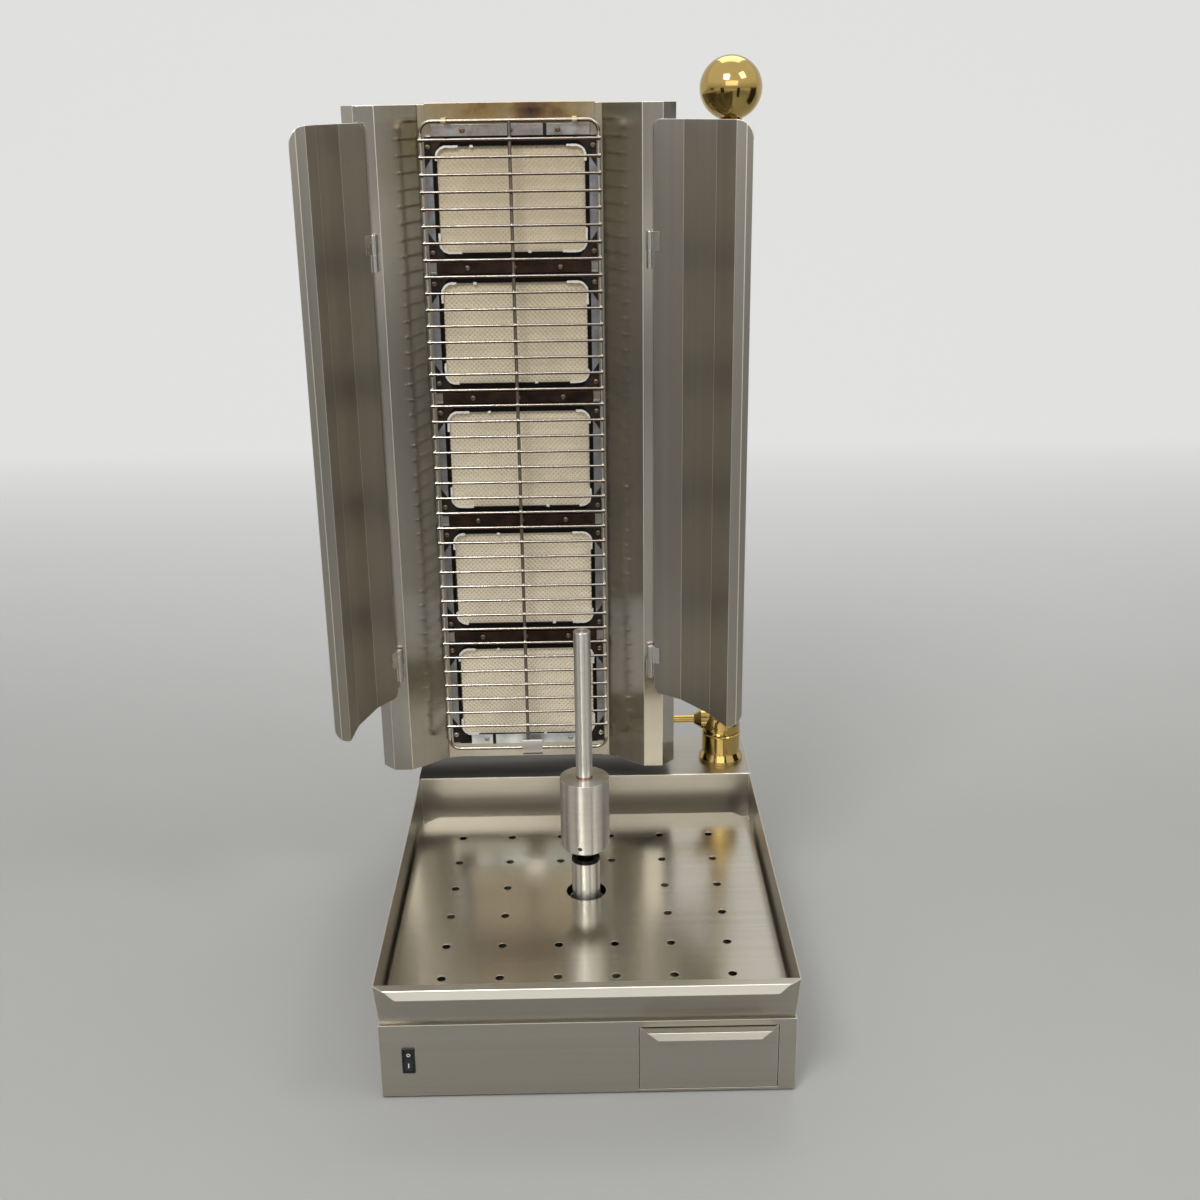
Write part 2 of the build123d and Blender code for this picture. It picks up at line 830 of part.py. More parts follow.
runner_ledge = pan_bottom - rest_gap
runner_length = base_depth - 2 * foot_flange - runner_end_gap
runner_plane = Plane.XZ.offset(-front_y - foot_flange)
runner_sides = [(side, drawer_x + side * (pan_width / 2 + rest_gap)) for side in (-1, 1)]
with BuildPart() as drawer_runners:
    with BuildSketch(runner_plane):
        for side, inner in runner_sides:
            outline([
                (inner - side * runner_width, plate_thick),
                (inner, plate_thick),
                (inner, runner_ledge),
                (inner - side * runner_width, runner_ledge),
            ])
    extrude(amount=-runner_length)
save(drawer_runners, "drawer_runners")

with BuildPart() as drawer_guides:
    with BuildSketch(runner_plane):
        for side, inner in runner_sides:
            outline([
                (inner, plate_thick),
                (inner + side * runner_wall, plate_thick),
                (inner + side * runner_wall, plate_thick + runner_height),
                (inner, plate_thick + runner_height),
            ])
    extrude(amount=-runner_length)
save(drawer_guides, "drawer_guides")

# Cable gland and gas inlet on the back
with BuildPart() as cable_gland:
    with BuildSketch(facing_front(back_y)):
        with Locations((gland_x, gland_z)):
            RegularPolygon(gland_nut_radius, 6)
    extrude(amount=-gland_nut)
    with BuildSketch(facing_front(back_y - sheet)):
        with Locations((gland_x, gland_z)):
            RegularPolygon(gland_nut_radius, 6)
    extrude(amount=gland_nut)
    with BuildSketch(facing_front(back_y - gland_nut)):
        with Locations((gland_x, gland_z)):
            Circle(gland_radius)
    extrude(amount=-(gland_nut + gland_reach))
    with BuildSketch(facing_front(back_y - gland_nut - overrun)):
        with Locations((gland_x, gland_z)):
            Circle(gland_radius / 2)
    extrude(amount=-(gland_nut + gland_reach + 2 * overrun), mode=Mode.SUBTRACT)
save(cable_gland, "cable_gland")

with BuildPart() as gas_inlet:
    with BuildSketch(facing_front(back_y)):
        with Locations((post_x, inlet_z)):
            RegularPolygon(inlet_nut_radius, 6)
    extrude(amount=-inlet_nut)
    with BuildSketch(facing_front(back_y - sheet - inlet_nut)):
        with Locations((post_x, inlet_z)):
            Circle(inlet_radius)
    extrude(amount=-(sheet + inlet_nut + inlet_reach))
    with BuildSketch(facing_front(back_y - sheet)):
        with Locations((post_x, inlet_z)):
            RegularPolygon(inlet_nut_radius, 6)
    extrude(amount=inlet_nut)
    with BuildSketch(facing_front(back_y + inlet_reach)):
        with Locations((post_x, inlet_z)):
            Circle(inlet_bore)
    extrude(amount=inlet_reach + inlet_nut, mode=Mode.SUBTRACT)
save(gas_inlet, "gas_inlet")

stem_bottom = rim_height - sheet - post_nut_height - sheet
pipe_start = back_y - sheet - inlet_nut
with BuildPart() as gas_pipe:
    with BuildLine() as pipe_run:
        FilletPolyline(
            (post_x, pipe_start, inlet_z),
            (post_x, post_y, inlet_z),
            (post_x, post_y, stem_bottom),
            radius=pipe_bend,
        )
    with BuildSketch(Plane(origin=pipe_run.line @ 0, z_dir=pipe_run.line % 0)):
        Circle(pipe_radius)
    sweep()
save(gas_pipe, "gas_pipe")

# Brass post base on the deck, with the swivel spigot on top and its lock nut below
with BuildPart() as post_base:
    with BuildSketch(upright(post_x, post_y)):
        outline([
            (0, stem_bottom),
            (stem_radius, stem_bottom),
            (stem_radius, rim_height),
            (foot_radius, rim_height),
            (foot_radius, rim_height + foot_thick),
            (post_radius, rim_height + foot_flare),
            (post_radius, post_rim - 2 * rim_bead),
            (post_radius + rim_bead, post_rim - rim_bead),
            (post_radius, post_rim),
            (spigot_radius, post_rim),
            (spigot_radius, post_rim + spigot_height),
            (0, post_rim + spigot_height),
        ])
    revolve(axis=post_axis)
save(post_base, "post_base")

with BuildPart() as post_nut:
    with BuildSketch(Plane.XY.offset(rim_height - sheet)):
        with Locations((post_x, post_y)):
            RegularPolygon(post_nut_radius, 6)
            Circle(stem_radius, mode=Mode.SUBTRACT)
    extrude(amount=-post_nut_height)
save(post_nut, "post_nut")

# Swivel head: dome with a branch to the tower and a capped boss to the front
head_foot = post_rim + rest_gap
mast_foot = dome_top - mast_seat
with BuildPart() as swivel_head:
    with BuildSketch(upright(post_x, post_y)):
        with BuildLine():
            Polyline(
                (dome_neck_radius, dome_top),
                (0, dome_top),
                (0, head_foot),
                (dome_radius, head_foot),
            )
            RadiusArc(
                (dome_radius, head_foot),
                (dome_neck_radius, dome_top),
                -(dome_top - head_foot),
            )
        make_face()
    revolve(axis=post_axis)
    with BuildSketch(facing_right(post_x)):
        with Locations((post_y, arm_height)):
            Circle(nipple_radius)
    extrude(amount=-nipple_reach)
    with BuildSketch(facing_right(post_x - nipple_reach)):
        with Locations((post_y, arm_height)):
            Circle(nipple_radius)
    with BuildSketch(facing_right(post_x - nipple_reach - nipple_cone)):
        with Locations((post_y, arm_height)):
            Circle(arm_radius + sheet)
    loft()
    with BuildSketch(facing_front(post_y)):
        with Locations((post_x, arm_height)):
            Circle(boss_radius)
    extrude(amount=boss_reach)
    fillet(swivel_head.edges().group_by(Axis.Y)[0], boss_edge)
    with Locations((post_x, post_y, head_foot)):
        Cylinder(
            spigot_radius + run_gap,
            spigot_height,
            align=standing,
            mode=Mode.SUBTRACT,
        )
    with Locations((post_x, post_y, mast_foot)):
        Cylinder(mast_radius, mast_seat + overrun, align=standing, mode=Mode.SUBTRACT)
    with BuildSketch(facing_right(post_x - nipple_reach - nipple_cone)):
        with Locations((post_y, arm_height)):
            Circle(arm_radius)
    extrude(amount=nipple_cone, mode=Mode.SUBTRACT)
save(swivel_head, "swivel_head")

mast_top = ball_centre - ball_radius + ball_bore_depth
with BuildPart() as swivel_post:
    with Locations((post_x, post_y, mast_foot)):
        Cylinder(mast_radius, mast_top - mast_foot, align=standing)
save(swivel_post, "swivel_post")

with BuildPart() as ball_finial:
    with Locations((post_x, post_y, ball_centre)):
        Sphere(ball_radius)
    with Locations((post_x, post_y, ball_centre - ball_radius)):
        Cylinder(ball_neck_radius, 2 * ball_neck)
    with Locations((post_x, post_y, mast_top)):
        Cylinder(mast_radius, ball_bore_depth + ball_neck, align=hanging, mode=Mode.SUBTRACT)
save(ball_finial, "ball_finial")

# Gas arm into the tower, brackets that carry the tower on the post
tower_side = tower_x + edge_half
side_wall = tower_side - sheet
with BuildPart() as gas_arm:
    with BuildSketch(facing_right(post_x - nipple_reach)):
        with Locations((post_y, arm_height)):
            Circle(arm_radius)
    extrude(amount=-(post_x - nipple_reach - manifold_axis_x))
    with Locations((manifold_axis_x, manifold_y, arm_height)):
        Cylinder(manifold_radius, 2 * manifold_end, mode=Mode.SUBTRACT)
save(gas_arm, "gas_arm")

with BuildPart() as post_brackets:
    for level in bracket_heights:
        with BuildSketch(Plane.XY.offset(level)):
            with Locations((post_x, post_y)):
                Circle(mast_radius + bracket_ring_wall)
            with Locations(((post_x + side_wall) / 2, post_y)):
                Rectangle(post_x - side_wall, bracket_bar_thick)
            with Locations((post_x, post_y)):
                Circle(mast_radius, mode=Mode.SUBTRACT)
        extrude(amount=bracket_bar_width)
        with BuildSketch(facing_right(side_wall)):
            with Locations((post_y, level + bracket_bar_width / 2)):
                Rectangle(bracket_pad, bracket_pad)
        extrude(amount=bracket_pad_thick)
save(post_brackets, "post_brackets")

# Tower sheets: two reflectors, burner panel, rear cover and end caps
reflector_face = [
    (strip_half - strip_flange, -sheet),
    (strip_half, -sheet),
    (fold_half, fold_forward),
    (front_half, fold_forward),
    (edge_half, edge_forward),
    (edge_half, edge_forward - return_length),
]


def reflector_plan(side):
    """Plan outline of one reflector sheet, its thickness behind the polished face."""
    face = [tower_point(side * across, forward) for across, forward in reflector_face]
    return bent_sheet(face, side * sheet)


for name, side in (("left_reflector", -1), ("right_reflector", 1)):
    with BuildPart() as reflector:
        with BuildSketch(Plane.XY.offset(tower_bottom)):
            outline(reflector_plan(side))
        extrude(amount=tower_height)
    save(reflector, name)

window_width = 2 * (plaque_width + window_margin)
window_height = plaque_height + 2 * window_margin
panel_bottom = tower_bottom + sheet
with BuildPart() as burner_panel:
    with BuildSketch(facing_front(strip_y)):
        with Locations((tower_x, (panel_bottom + tower_top) / 2)):
            Rectangle(2 * strip_half, tower_top - panel_bottom)
        with Locations(*[(tower_x, level) for level in burner_levels]):
            Rectangle(window_width, window_height, mode=Mode.SUBTRACT)
    extrude(amount=-sheet)
save(burner_panel, "burner_panel")

cover_half = edge_half - sheet
cover_front = edge_forward - 2 * sheet
with BuildPart() as rear_cover:
    with BuildSketch(Plane.XY.offset(tower_bottom)):
        outline(bent_sheet(
            [
                tower_point(-cover_half, cover_front),
                tower_point(-cover_half, -tower_back),
                tower_point(cover_half, -tower_back),
                tower_point(cover_half, cover_front),
            ],
            -sheet,
        ))
    extrude(amount=tower_height)
    with BuildSketch(facing_front(back_plate_y)):
        with Locations(*[(manifold_axis_x, level) for level in burner_levels]):
            Circle(valve_stem_radius + rest_gap)
        for level in burner_levels:
            with Locations((tower_x + vent_x, level)):
                with GridLocations(vent_width, vent_pitch, 1, vent_count):
                    SlotOverall(vent_width, vent_height)
    extrude(amount=sheet, mode=Mode.SUBTRACT)
    with BuildSketch(facing_right(side_wall)):
        with Locations((post_y, arm_height)):
            Circle(arm_radius + rest_gap)
    extrude(amount=-sheet, mode=Mode.SUBTRACT)
save(rear_cover, "rear_cover")


def cap_plan():
    """Plan outline of an end cap, inside the folded sheets."""
    inner = bent_sheet(reflector_face, -sheet - rest_gap)[len(reflector_face):][::-1]
    limit = cover_half - sheet - rest_gap
    right = [(across, forward) for across, forward in inner if across < limit]
    right.append((limit, cover_front - rest_gap))
    right.append((limit, rest_gap + sheet - tower_back))
    left = [(-across, forward) for across, forward in right[::-1]]
    return [tower_point(across, forward) for across, forward in right + left]


top_bar_width = 2 * (strip_half - top_bar_inset)
with BuildPart() as top_cap:
    with BuildSketch(Plane.XY.offset(tower_top)):
        outline(cap_plan())
    extrude(amount=-sheet)
    with BuildSketch(facing_front(strip_y)):
        with Locations((tower_x, tower_top - top_bar_height / 2)):
            Rectangle(top_bar_width, top_bar_height)
    extrude(amount=sheet)
    with BuildSketch(Plane.XY.offset(tower_top)):
        with Locations(tower_point(0, -sheet)):
            Rectangle(top_bar_width, 4 * sheet)
    extrude(amount=sheet)
save(top_cap, "top_cap")

with BuildPart() as bottom_cap:
    with BuildSketch(Plane.XY.offset(tower_bottom)):
        outline(cap_plan())
    extrude(amount=sheet)
save(bottom_cap, "bottom_cap")

# Burners: cast box with a mixing tube, two ceramic plaques, cast frame
box_height = plaque_height + 2 * burner_wall
box_front = strip_y + sheet
for number, level in enumerate(burner_levels, start=1):
    with BuildPart() as burner:
        with BuildSketch(facing_front(box_front)):
            with Locations((tower_x, level)):
                Rectangle(box_width, box_height)
        extrude(amount=-(burner_depth - sheet))
        with BuildSketch(facing_front(box_front)):
            with Locations((tower_x, level)):
                Rectangle(2 * plaque_width + plaque_gap, plaque_height + plaque_gap)
        extrude(amount=-(plaque_thick - sheet), mode=Mode.SUBTRACT)
        with BuildSketch(facing_front(strip_y + plaque_thick)):
            with Locations((tower_x, level)):
                Rectangle(2 * (plaque_width - plaque_ledge), plaque_height - 2 * plaque_ledge)
        extrude(amount=-(burner_depth - plaque_thick - burner_floor), mode=Mode.SUBTRACT)
        with BuildSketch(facing_right(venturi_x)):
            with Locations((manifold_y, level)):
                Circle(venturi_radius)
        extrude(amount=venturi_reach)
        with BuildSketch(facing_right(venturi_x + venturi_reach)):
            with Locations((manifold_y, level)):
                Circle(venturi_bore)
        extrude(amount=-(venturi_reach + burner_wall + plaque_ledge), mode=Mode.SUBTRACT)
    save(burner, f"burner_{number}")

with BuildPart() as ceramic_plaques:
    with BuildSketch(facing_front(strip_y)):
        for level in burner_levels:
            with Locations((tower_x, level)):
                with GridLocations(plaque_width, plaque_height, 2, 1):
                    Rectangle(plaque_width - plaque_gap, plaque_height)
    extrude(amount=-plaque_thick)
save(ceramic_plaques, "ceramic_plaques")

frame_window_half = plaque_width - frame_lap
frame_window_rise = plaque_height / 2 - frame_lap
frame_front = strip_y - frame_thick
gusset_top = frame_half_height - strap_lap - rest_gap
with BuildPart() as burner_frames:
    for level in burner_levels:
        with BuildSketch(facing_front(strip_y)):
            with Locations((tower_x, level)):
                Rectangle(2 * frame_half_width, 2 * frame_half_height)
        extrude(amount=frame_thick)
        with BuildSketch(facing_front(frame_front)):
            for side in (-1, 1):
                outer = tower_x + side * frame_half_width
                for end in (-1, 1):
                    outline([
                        (outer, level + end * (gusset_top - gusset_height)),
                        (outer, level + end * gusset_top),
                        (outer - side * gusset_width, level + end * gusset_top),
                    ])
        extrude(amount=gusset_thick)
        with BuildSketch(facing_front(strip_y)) as frame_window:
            with Locations((tower_x, level)):
                Rectangle(2 * frame_window_half, 2 * frame_window_rise)
            fillet(frame_window.vertices(), frame_corner)
        extrude(amount=frame_thick + gusset_thick, mode=Mode.SUBTRACT)
save(burner_frames, "burner_frames")

strap_levels = [level + burner_pitch / 2 for level in burner_levels]
strap_height = burner_pitch - 2 * frame_half_height + 2 * strap_lap
foot_strap_level = first_burner - frame_window_rise - rest_gap - strap_height / 2
with BuildPart() as cross_straps:
    with BuildSketch(facing_front(frame_front)):
        with Locations(*[(tower_x, level) for level in strap_levels]):
            Rectangle(2 * (frame_half_width - strap_end_inset), strap_height)
        with Locations((tower_x, foot_strap_level)):
            Rectangle(2 * (frame_half_width - gusset_width - rest_gap), strap_height)
    extrude(amount=sheet)
save(cross_straps, "cross_straps")

gusset_screw_x = frame_half_width - gusset_screw_side
gusset_screw_z = frame_half_height - gusset_screw_end
strap_face = frame_front - sheet
cover_screw_x = cover_half - cover_screw_inset
cover_screw_z = tower_height / 2 - cover_screw_inset
with BuildPart() as tower_screws:
    with BuildSketch(facing_front(strap_face)):
        for level in [foot_strap_level] + strap_levels:
            with Locations((tower_x, level)):
                with GridLocations(strap_screw_pitch, strap_screw_pitch, strap_screws, 1):
                    Circle(screw_head_radius)
    extrude(amount=screw_head)
    with BuildSketch(facing_front(frame_front - gusset_thick)):
        for level in burner_levels:
            with Locations((tower_x, level)):
                with GridLocations(2 * gusset_screw_x, 2 * gusset_screw_z, 2, 2):
                    Circle(screw_head_radius)
    extrude(amount=screw_head)
    with BuildSketch(facing_front(back_plate_y)):
        with Locations((tower_x, (tower_bottom + tower_top) / 2)):
            with GridLocations(
                2 * cover_screw_x, 2 * cover_screw_z / (cover_screw_rows - 1), 2, cover_screw_rows
            ):
                Circle(screw_head_radius)
    extrude(amount=-screw_head)
save(tower_screws, "tower_screws")

# Grille: bent frame wire, rungs welded on its front, centre bar behind the rungs
wire_y = strip_y - grille_forward
rung_y = wire_y - frame_wire_radius - rung_radius + weld_sink
half_wire = grille_width / 2
rung_pitch = (grille_top - grille_bottom - rung_top_drop - rung_bottom_rise) / (rung_count - 1)
rung_levels = [grille_bottom + rung_bottom_rise + index * rung_pitch for index in range(rung_count)]
with BuildPart() as grille:
    with BuildLine(facing_front(wire_y)) as wire_run:
        FilletPolyline(
            (tower_x, grille_bottom),
            (tower_x + half_wire, grille_bottom),
            (tower_x + half_wire, grille_top),
            (tower_x, grille_top),
            radius=grille_corner,
        )
    with BuildSketch(Plane(origin=wire_run.line @ 0, z_dir=wire_run.line % 0)):
        Circle(frame_wire_radius)
    sweep()
    mirror(about=Plane.YZ.offset(tower_x))
    with BuildSketch(Plane.XY.offset(grille_bottom)):
        with Locations((tower_x, wire_y)):
            Circle(frame_wire_radius)
    extrude(amount=grille_top - grille_bottom)
    with BuildSketch(facing_right(tower_x - half_wire - rung_overhang)):
        with Locations(*[(rung_y, level) for level in rung_levels]):
            Circle(rung_radius)
    extrude(amount=grille_width + 2 * rung_overhang)
save(grille, "grille")

# Clips that hold the frame wire: two hooks at the top, a folded clip at the bottom
clip_reach = wire_y - frame_wire_radius - sheet
bar_face = strip_y - sheet
clip_bottom = grille_bottom - clip_height / 2
clip_top = grille_bottom + clip_height / 2
hook_bottom = grille_top + frame_wire_radius
with BuildPart() as grille_clips:
    with BuildSketch(facing_right(tower_x + clip_x - clip_width / 2)):
        outline(bent_sheet(
            [
                (strap_face, clip_bottom),
                (strap_face, clip_top),
                (clip_reach, clip_top),
                (clip_reach, clip_bottom),
            ],
            sheet,
        ))
    extrude(amount=clip_width)
    with BuildSketch(Plane.XY.offset(clip_top)):
        with Locations((tower_x, wire_y)):
            Circle(frame_wire_radius + rest_gap)
    extrude(amount=-sheet, mode=Mode.SUBTRACT)
    with BuildSketch(facing_front(strap_face)):
        with Locations((tower_x, foot_strap_level)):
            Circle(screw_head_radius + rest_gap)
    extrude(amount=sheet, mode=Mode.SUBTRACT)
    for side in (-1, 1):
        with BuildSketch(facing_right(tower_x + side * hook_spread - hook_width / 2)):
            outline(bent_sheet(
                [
                    (bar_face, hook_bottom + sheet),
                    (clip_reach, hook_bottom + sheet),
                    (clip_reach, hook_bottom - hook_fall),
                ],
                sheet,
            ))
        extrude(amount=hook_width)
save(grille_clips, "grille_clips")

# Gas train: manifold, valve blocks clamped round it with their injectors, knobs behind the rear cover
manifold_bottom = arm_height - manifold_end
manifold_top = burner_levels[-1] + manifold_end
valve_back = back_plate_y - sheet
valve_front = manifold_y - valve_size / 2
with BuildPart() as gas_manifold:
    with Locations((manifold_axis_x, manifold_y, manifold_bottom)):
        Cylinder(manifold_radius, manifold_top - manifold_bottom, align=standing)
save(gas_manifold, "gas_manifold")

valve_side = manifold_axis_x - valve_size / 2
with BuildPart() as gas_valves:
    for level in burner_levels:
        with Locations((manifold_axis_x, (valve_front + valve_back) / 2, level)):
            Box(valve_size, valve_back - valve_front, valve_size)
        with Locations((manifold_axis_x, manifold_y, level)):
            Cylinder(manifold_radius, valve_size, mode=Mode.SUBTRACT)
        with BuildSketch(facing_front(valve_back)):
            with Locations((manifold_axis_x, level)):
                Circle(valve_stem_radius)
        extrude(amount=-(sheet + valve_stem))
        with BuildSketch(facing_right(valve_side)):
            with Locations((manifold_y, level)):
                Circle(injector_radius)
        extrude(amount=-(valve_side - venturi_mouth + injector_entry))
save(gas_valves, "gas_valves")

knob_face = back_plate_y + rest_gap
knob_tip = knob_face + knob_height
for number, level in enumerate(burner_levels, start=1):
    with BuildPart() as gas_knob:
        with BuildSketch(facing_front(knob_face)):
            with Locations((manifold_axis_x, level)):
                Circle(knob_radius)
        with BuildSketch(facing_front(knob_tip)):
            with Locations((manifold_axis_x, level)):
                Circle(knob_radius * knob_waist_share)
        loft()
        fillet(gas_knob.edges().group_by(Axis.Y)[-1], knob_edge)
        with BuildSketch(facing_front(knob_tip)):
            with Locations((manifold_axis_x, level)):
                SlotOverall(2 * knob_radius * knob_waist_share - 2 * knob_edge, knob_grip_width, rotation=90)
        extrude(amount=-knob_grip_height)
        with BuildSketch(facing_front(knob_face)):
            with Locations((manifold_axis_x, level)):
                Circle(valve_stem_radius + run_gap)
        extrude(amount=-(valve_stem + rest_gap), mode=Mode.SUBTRACT)
    save(gas_knob, f"gas_knob_{number}")


# Side shields: folded panels that hang on lift-off hinges in front of the tower
def shield_plan(side, swing):
    """Plan points of a shield's inner face, from its hinge edge outwards."""
    turn = radians(swing)
    x = tower_x + side * (hinge_half + hinge_offset * cos(turn))
    y = hinge_y - hinge_offset * sin(turn)
    points = [(x, y)]
    for facet, bend in zip(shield_facets, shield_bend_angles + (0,)):
        x += side * facet * cos(turn)
        y -= facet * sin(turn)
        points.append((x, y))
        turn += radians(bend)
    return points


for name, side, swing in (("left", -1, left_shield_angle), ("right", 1, right_shield_angle)):
    plan = shield_plan(side, swing)
    section = bent_sheet(plan, side * shield_sheet)
    fold_x = plan[-3][0]
    corner_reach = max(side * (x - fold_x) for x, y in section)
    with BuildPart() as shield:
        with BuildSketch(Plane.XY.offset(shield_bottom)):
            outline(section)
        extrude(amount=shield_top - shield_bottom)
        ends = shield.edges().group_by(SortBy.LENGTH)[0].sort_by(Axis.X, reverse=side < 0)
        fillet(ends[:2], shield_inner_corner)
        for level, inwards in ((shield_bottom, 1), (shield_top, -1)):
            with BuildSketch(facing_front(strip_y)):
                with Locations((fold_x + side * (corner_reach + overrun) / 2, level)):
                    Rectangle(corner_reach + overrun, 2 * shield_outer_corner)
                with Locations((fold_x, level + inwards * shield_outer_corner)):
                    Ellipse(corner_reach, shield_outer_corner, mode=Mode.SUBTRACT)
            extrude(amount=base_depth, mode=Mode.SUBTRACT)
    save(shield, f"{name}_shield")

    hinge_x = tower_x + side * hinge_half
    leaf_reach = hinge_offset + leaf_width
    leaf_tip = (
        hinge_x + side * leaf_reach * cos(radians(swing)),
        hinge_y - leaf_reach * sin(radians(swing)),
    )
    with BuildPart() as knuckles:
        for level in hinge_heights:
            with Locations((hinge_x, hinge_y, level + rest_gap)):
                Cylinder(hinge_radius, knuckle_barrel - rest_gap, align=standing)
            with BuildSketch(Plane.XY.offset(level + rest_gap)):
                outline(bent_sheet([(hinge_x, hinge_y), leaf_tip], -side * leaf_thick))
            extrude(amount=knuckle_barrel - rest_gap)
            with Locations((hinge_x, hinge_y, level)):
                Cylinder(hinge_pin_radius + run_gap, knuckle_barrel, align=standing, mode=Mode.SUBTRACT)
    save(knuckles, f"{name}_knuckles")

# Hinge pins: plates on the tower's front folds, each with a barrel and an upright pin
facet_y = strip_y - fold_forward
with BuildPart() as hinge_pins:
    for side in (-1, 1):
        hinge_x = tower_x + side * hinge_half
        for level in hinge_heights:
            with Locations((hinge_x, hinge_y, level)):
                Cylinder(hinge_radius, pin_barrel, align=hanging)
                Cylinder(hinge_pin_radius, knuckle_barrel, align=standing)
            with BuildSketch(facing_front(facet_y)):
                with Locations((hinge_x, level - pin_barrel / 2)):
                    Rectangle(hinge_plate_width, pin_barrel)
            extrude(amount=leaf_thick)
            with BuildSketch(facing_front(facet_y)):
                with Locations((hinge_x, level - pin_barrel / 2)):
                    Rectangle(2 * hinge_pin_radius, pin_barrel)
            extrude(amount=hinge_forward)
save(hinge_pins, "hinge_pins")
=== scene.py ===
"""Looks of a gas doner kebab grill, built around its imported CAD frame.

Metres, +Z up, in the frame of the CAD part. Each operator dresses one piece or group of like pieces.
"""

import json
import random
from math import cos, pi, radians, sin

import bmesh
import bpy
from bpy.props import FloatProperty, FloatVectorProperty, IntProperty, PointerProperty
from bpy.types import Operator, Panel, PropertyGroup
from mathutils import Matrix, Vector


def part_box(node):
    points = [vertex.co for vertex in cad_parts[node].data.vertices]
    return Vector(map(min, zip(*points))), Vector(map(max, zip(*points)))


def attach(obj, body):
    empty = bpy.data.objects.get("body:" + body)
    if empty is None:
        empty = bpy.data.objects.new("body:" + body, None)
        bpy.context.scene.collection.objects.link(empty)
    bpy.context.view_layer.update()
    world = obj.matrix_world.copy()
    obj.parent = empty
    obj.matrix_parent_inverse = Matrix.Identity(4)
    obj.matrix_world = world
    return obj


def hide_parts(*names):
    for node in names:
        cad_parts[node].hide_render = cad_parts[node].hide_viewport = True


bl_info = {
    "name": "Doner Grill Dresser",
    "version": (1, 0, 0),
    "blender": (4, 5, 0),
    "location": "View3D > Sidebar > Doner Grill",
    "description": "Dresses the packed doner grill with steel, brass, ceramic and a plain stage",
    "category": "Object",
}

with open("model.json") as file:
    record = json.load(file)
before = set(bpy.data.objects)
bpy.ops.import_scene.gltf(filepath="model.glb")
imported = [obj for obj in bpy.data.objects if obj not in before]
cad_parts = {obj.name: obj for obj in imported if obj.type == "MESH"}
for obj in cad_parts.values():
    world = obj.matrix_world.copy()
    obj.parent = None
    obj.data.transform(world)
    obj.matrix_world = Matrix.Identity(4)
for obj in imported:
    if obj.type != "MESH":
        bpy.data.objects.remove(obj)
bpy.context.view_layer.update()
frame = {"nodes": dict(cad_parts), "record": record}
body_of = {node: body for body, nodes in frame["record"]["behaviour"]["bodies"].items() for node in nodes}
tower_middle = sum(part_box("burner_panel"), Vector()) / 2
plaque_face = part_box("ceramic_plaques")[0].y

# Grain stretch for walls and for level faces, in lines per metre along each axis
UPRIGHT_GRAIN = ((2200.0, 2200.0, 14.0), (2200.0, 14.0, 14.0))
LEVEL_GRAIN = ((14.0, 14.0, 2200.0), (14.0, 2200.0, 14.0))
TURNED_GRAIN = ((3.0, 3.0, 3000.0), (1500.0, 1500.0, 3.0))

# Where the CAD part puts the burners and the grille's wires, in metres
BURNER_FOOT = 0.297
BURNER_PITCH = 0.1695
BURNER_COUNT = 5
PLAQUE_SIZE = (0.0946, 0.013, 0.132)
WINDOW_HALF = (0.0945, 0.0655)
WINDOW_CORNER = 0.013
RUNG_COUNT = 39
RUNG_FOOT = 0.036
RUNG_HEAD = 0.022
WIRE_RADIUS = 0.00225
FRAME_WIRE_Y = 0.173

# Relief of the plaques: pitch and half height in metres, points across and up
RELIEF_PITCH = 0.0064
RELIEF_DEPTH = 0.0005
RELIEF_GRID = (100, 140)

# Sleeves on the straps and hooks of the grille, in metres
SLEEVE_HEIGHT = 0.014
SLEEVE_HALF = 0.0022
SLEEVE_SHEET = 0.0008
HOOK_BEND = 0.0033
HOOK_SHEET = 0.0011

# Broken edges of the small pieces, in metres
FINE_EDGE = 0.0003
KNOB_EDGE = 0.0004

# Heights at which a dark band on the spit begins, is full, starts to fade and ends, in metres: a rust stain,
# and painted shade at the neck
NECK_PAINTED_SHADE = (0.1708, 0.1715, 0.1862, 0.1868)
RUST_RING = (0.2881, 0.2883, 0.2904, 0.2912)

# Outer and inner outlines of the marks on the rocker
ROUND_MARK = [
    [(reach * cos(pi * step / 12), reach * sin(pi * step / 12)) for step in range(24)]
    for reach in (0.0023, 0.0011)
]
BAR_CORNERS = ((-0.0006, -0.0026), (0.0006, -0.0026), (0.0006, 0.0026), (-0.0006, 0.0026))
BAR_MARK = [[(x * reach, y * reach) for x, y in BAR_CORNERS] for reach in (1.0, 0.05)]

# Degrees between faces above which an edge is a fold and not part of a curve
FOLD_ANGLE = 10.5

# Lamps: name, place, height, power and width
LAMPS = (
    ("Key lamp", (-0.8, -1.9, 2.9), 0.9, 42.0, 0.9),
    ("Fill lamp", (1.7, -1.2, 2.8), 0.9, 14.0, 0.9),
    ("Back lamp", (0.3, 1.7, 3.4), 2.0, 26.0, 2.0),
    ("Front lamp", (0.0, -3.3, 2.1), 1.1, 15.0, 3.0),
)
LAMP_AIM = (0.0, 0.0, 0.5)

# Dark cards that show only in reflections: name, place, turn in degrees and width
CARDS = (
    ("Left card", (-0.95, -1.3), -40.0, 0.45),
    ("Right card", (0.85, -1.4), 35.0, 0.35),
    ("Left side card", (-1.45, -0.1), -88.0, 0.55),
    ("Right side card", (1.45, 0.1), 92.0, 0.7),
)
CARD_HEIGHT = 1.1
CARD_COLOUR = (0.028, 0.028, 0.028)

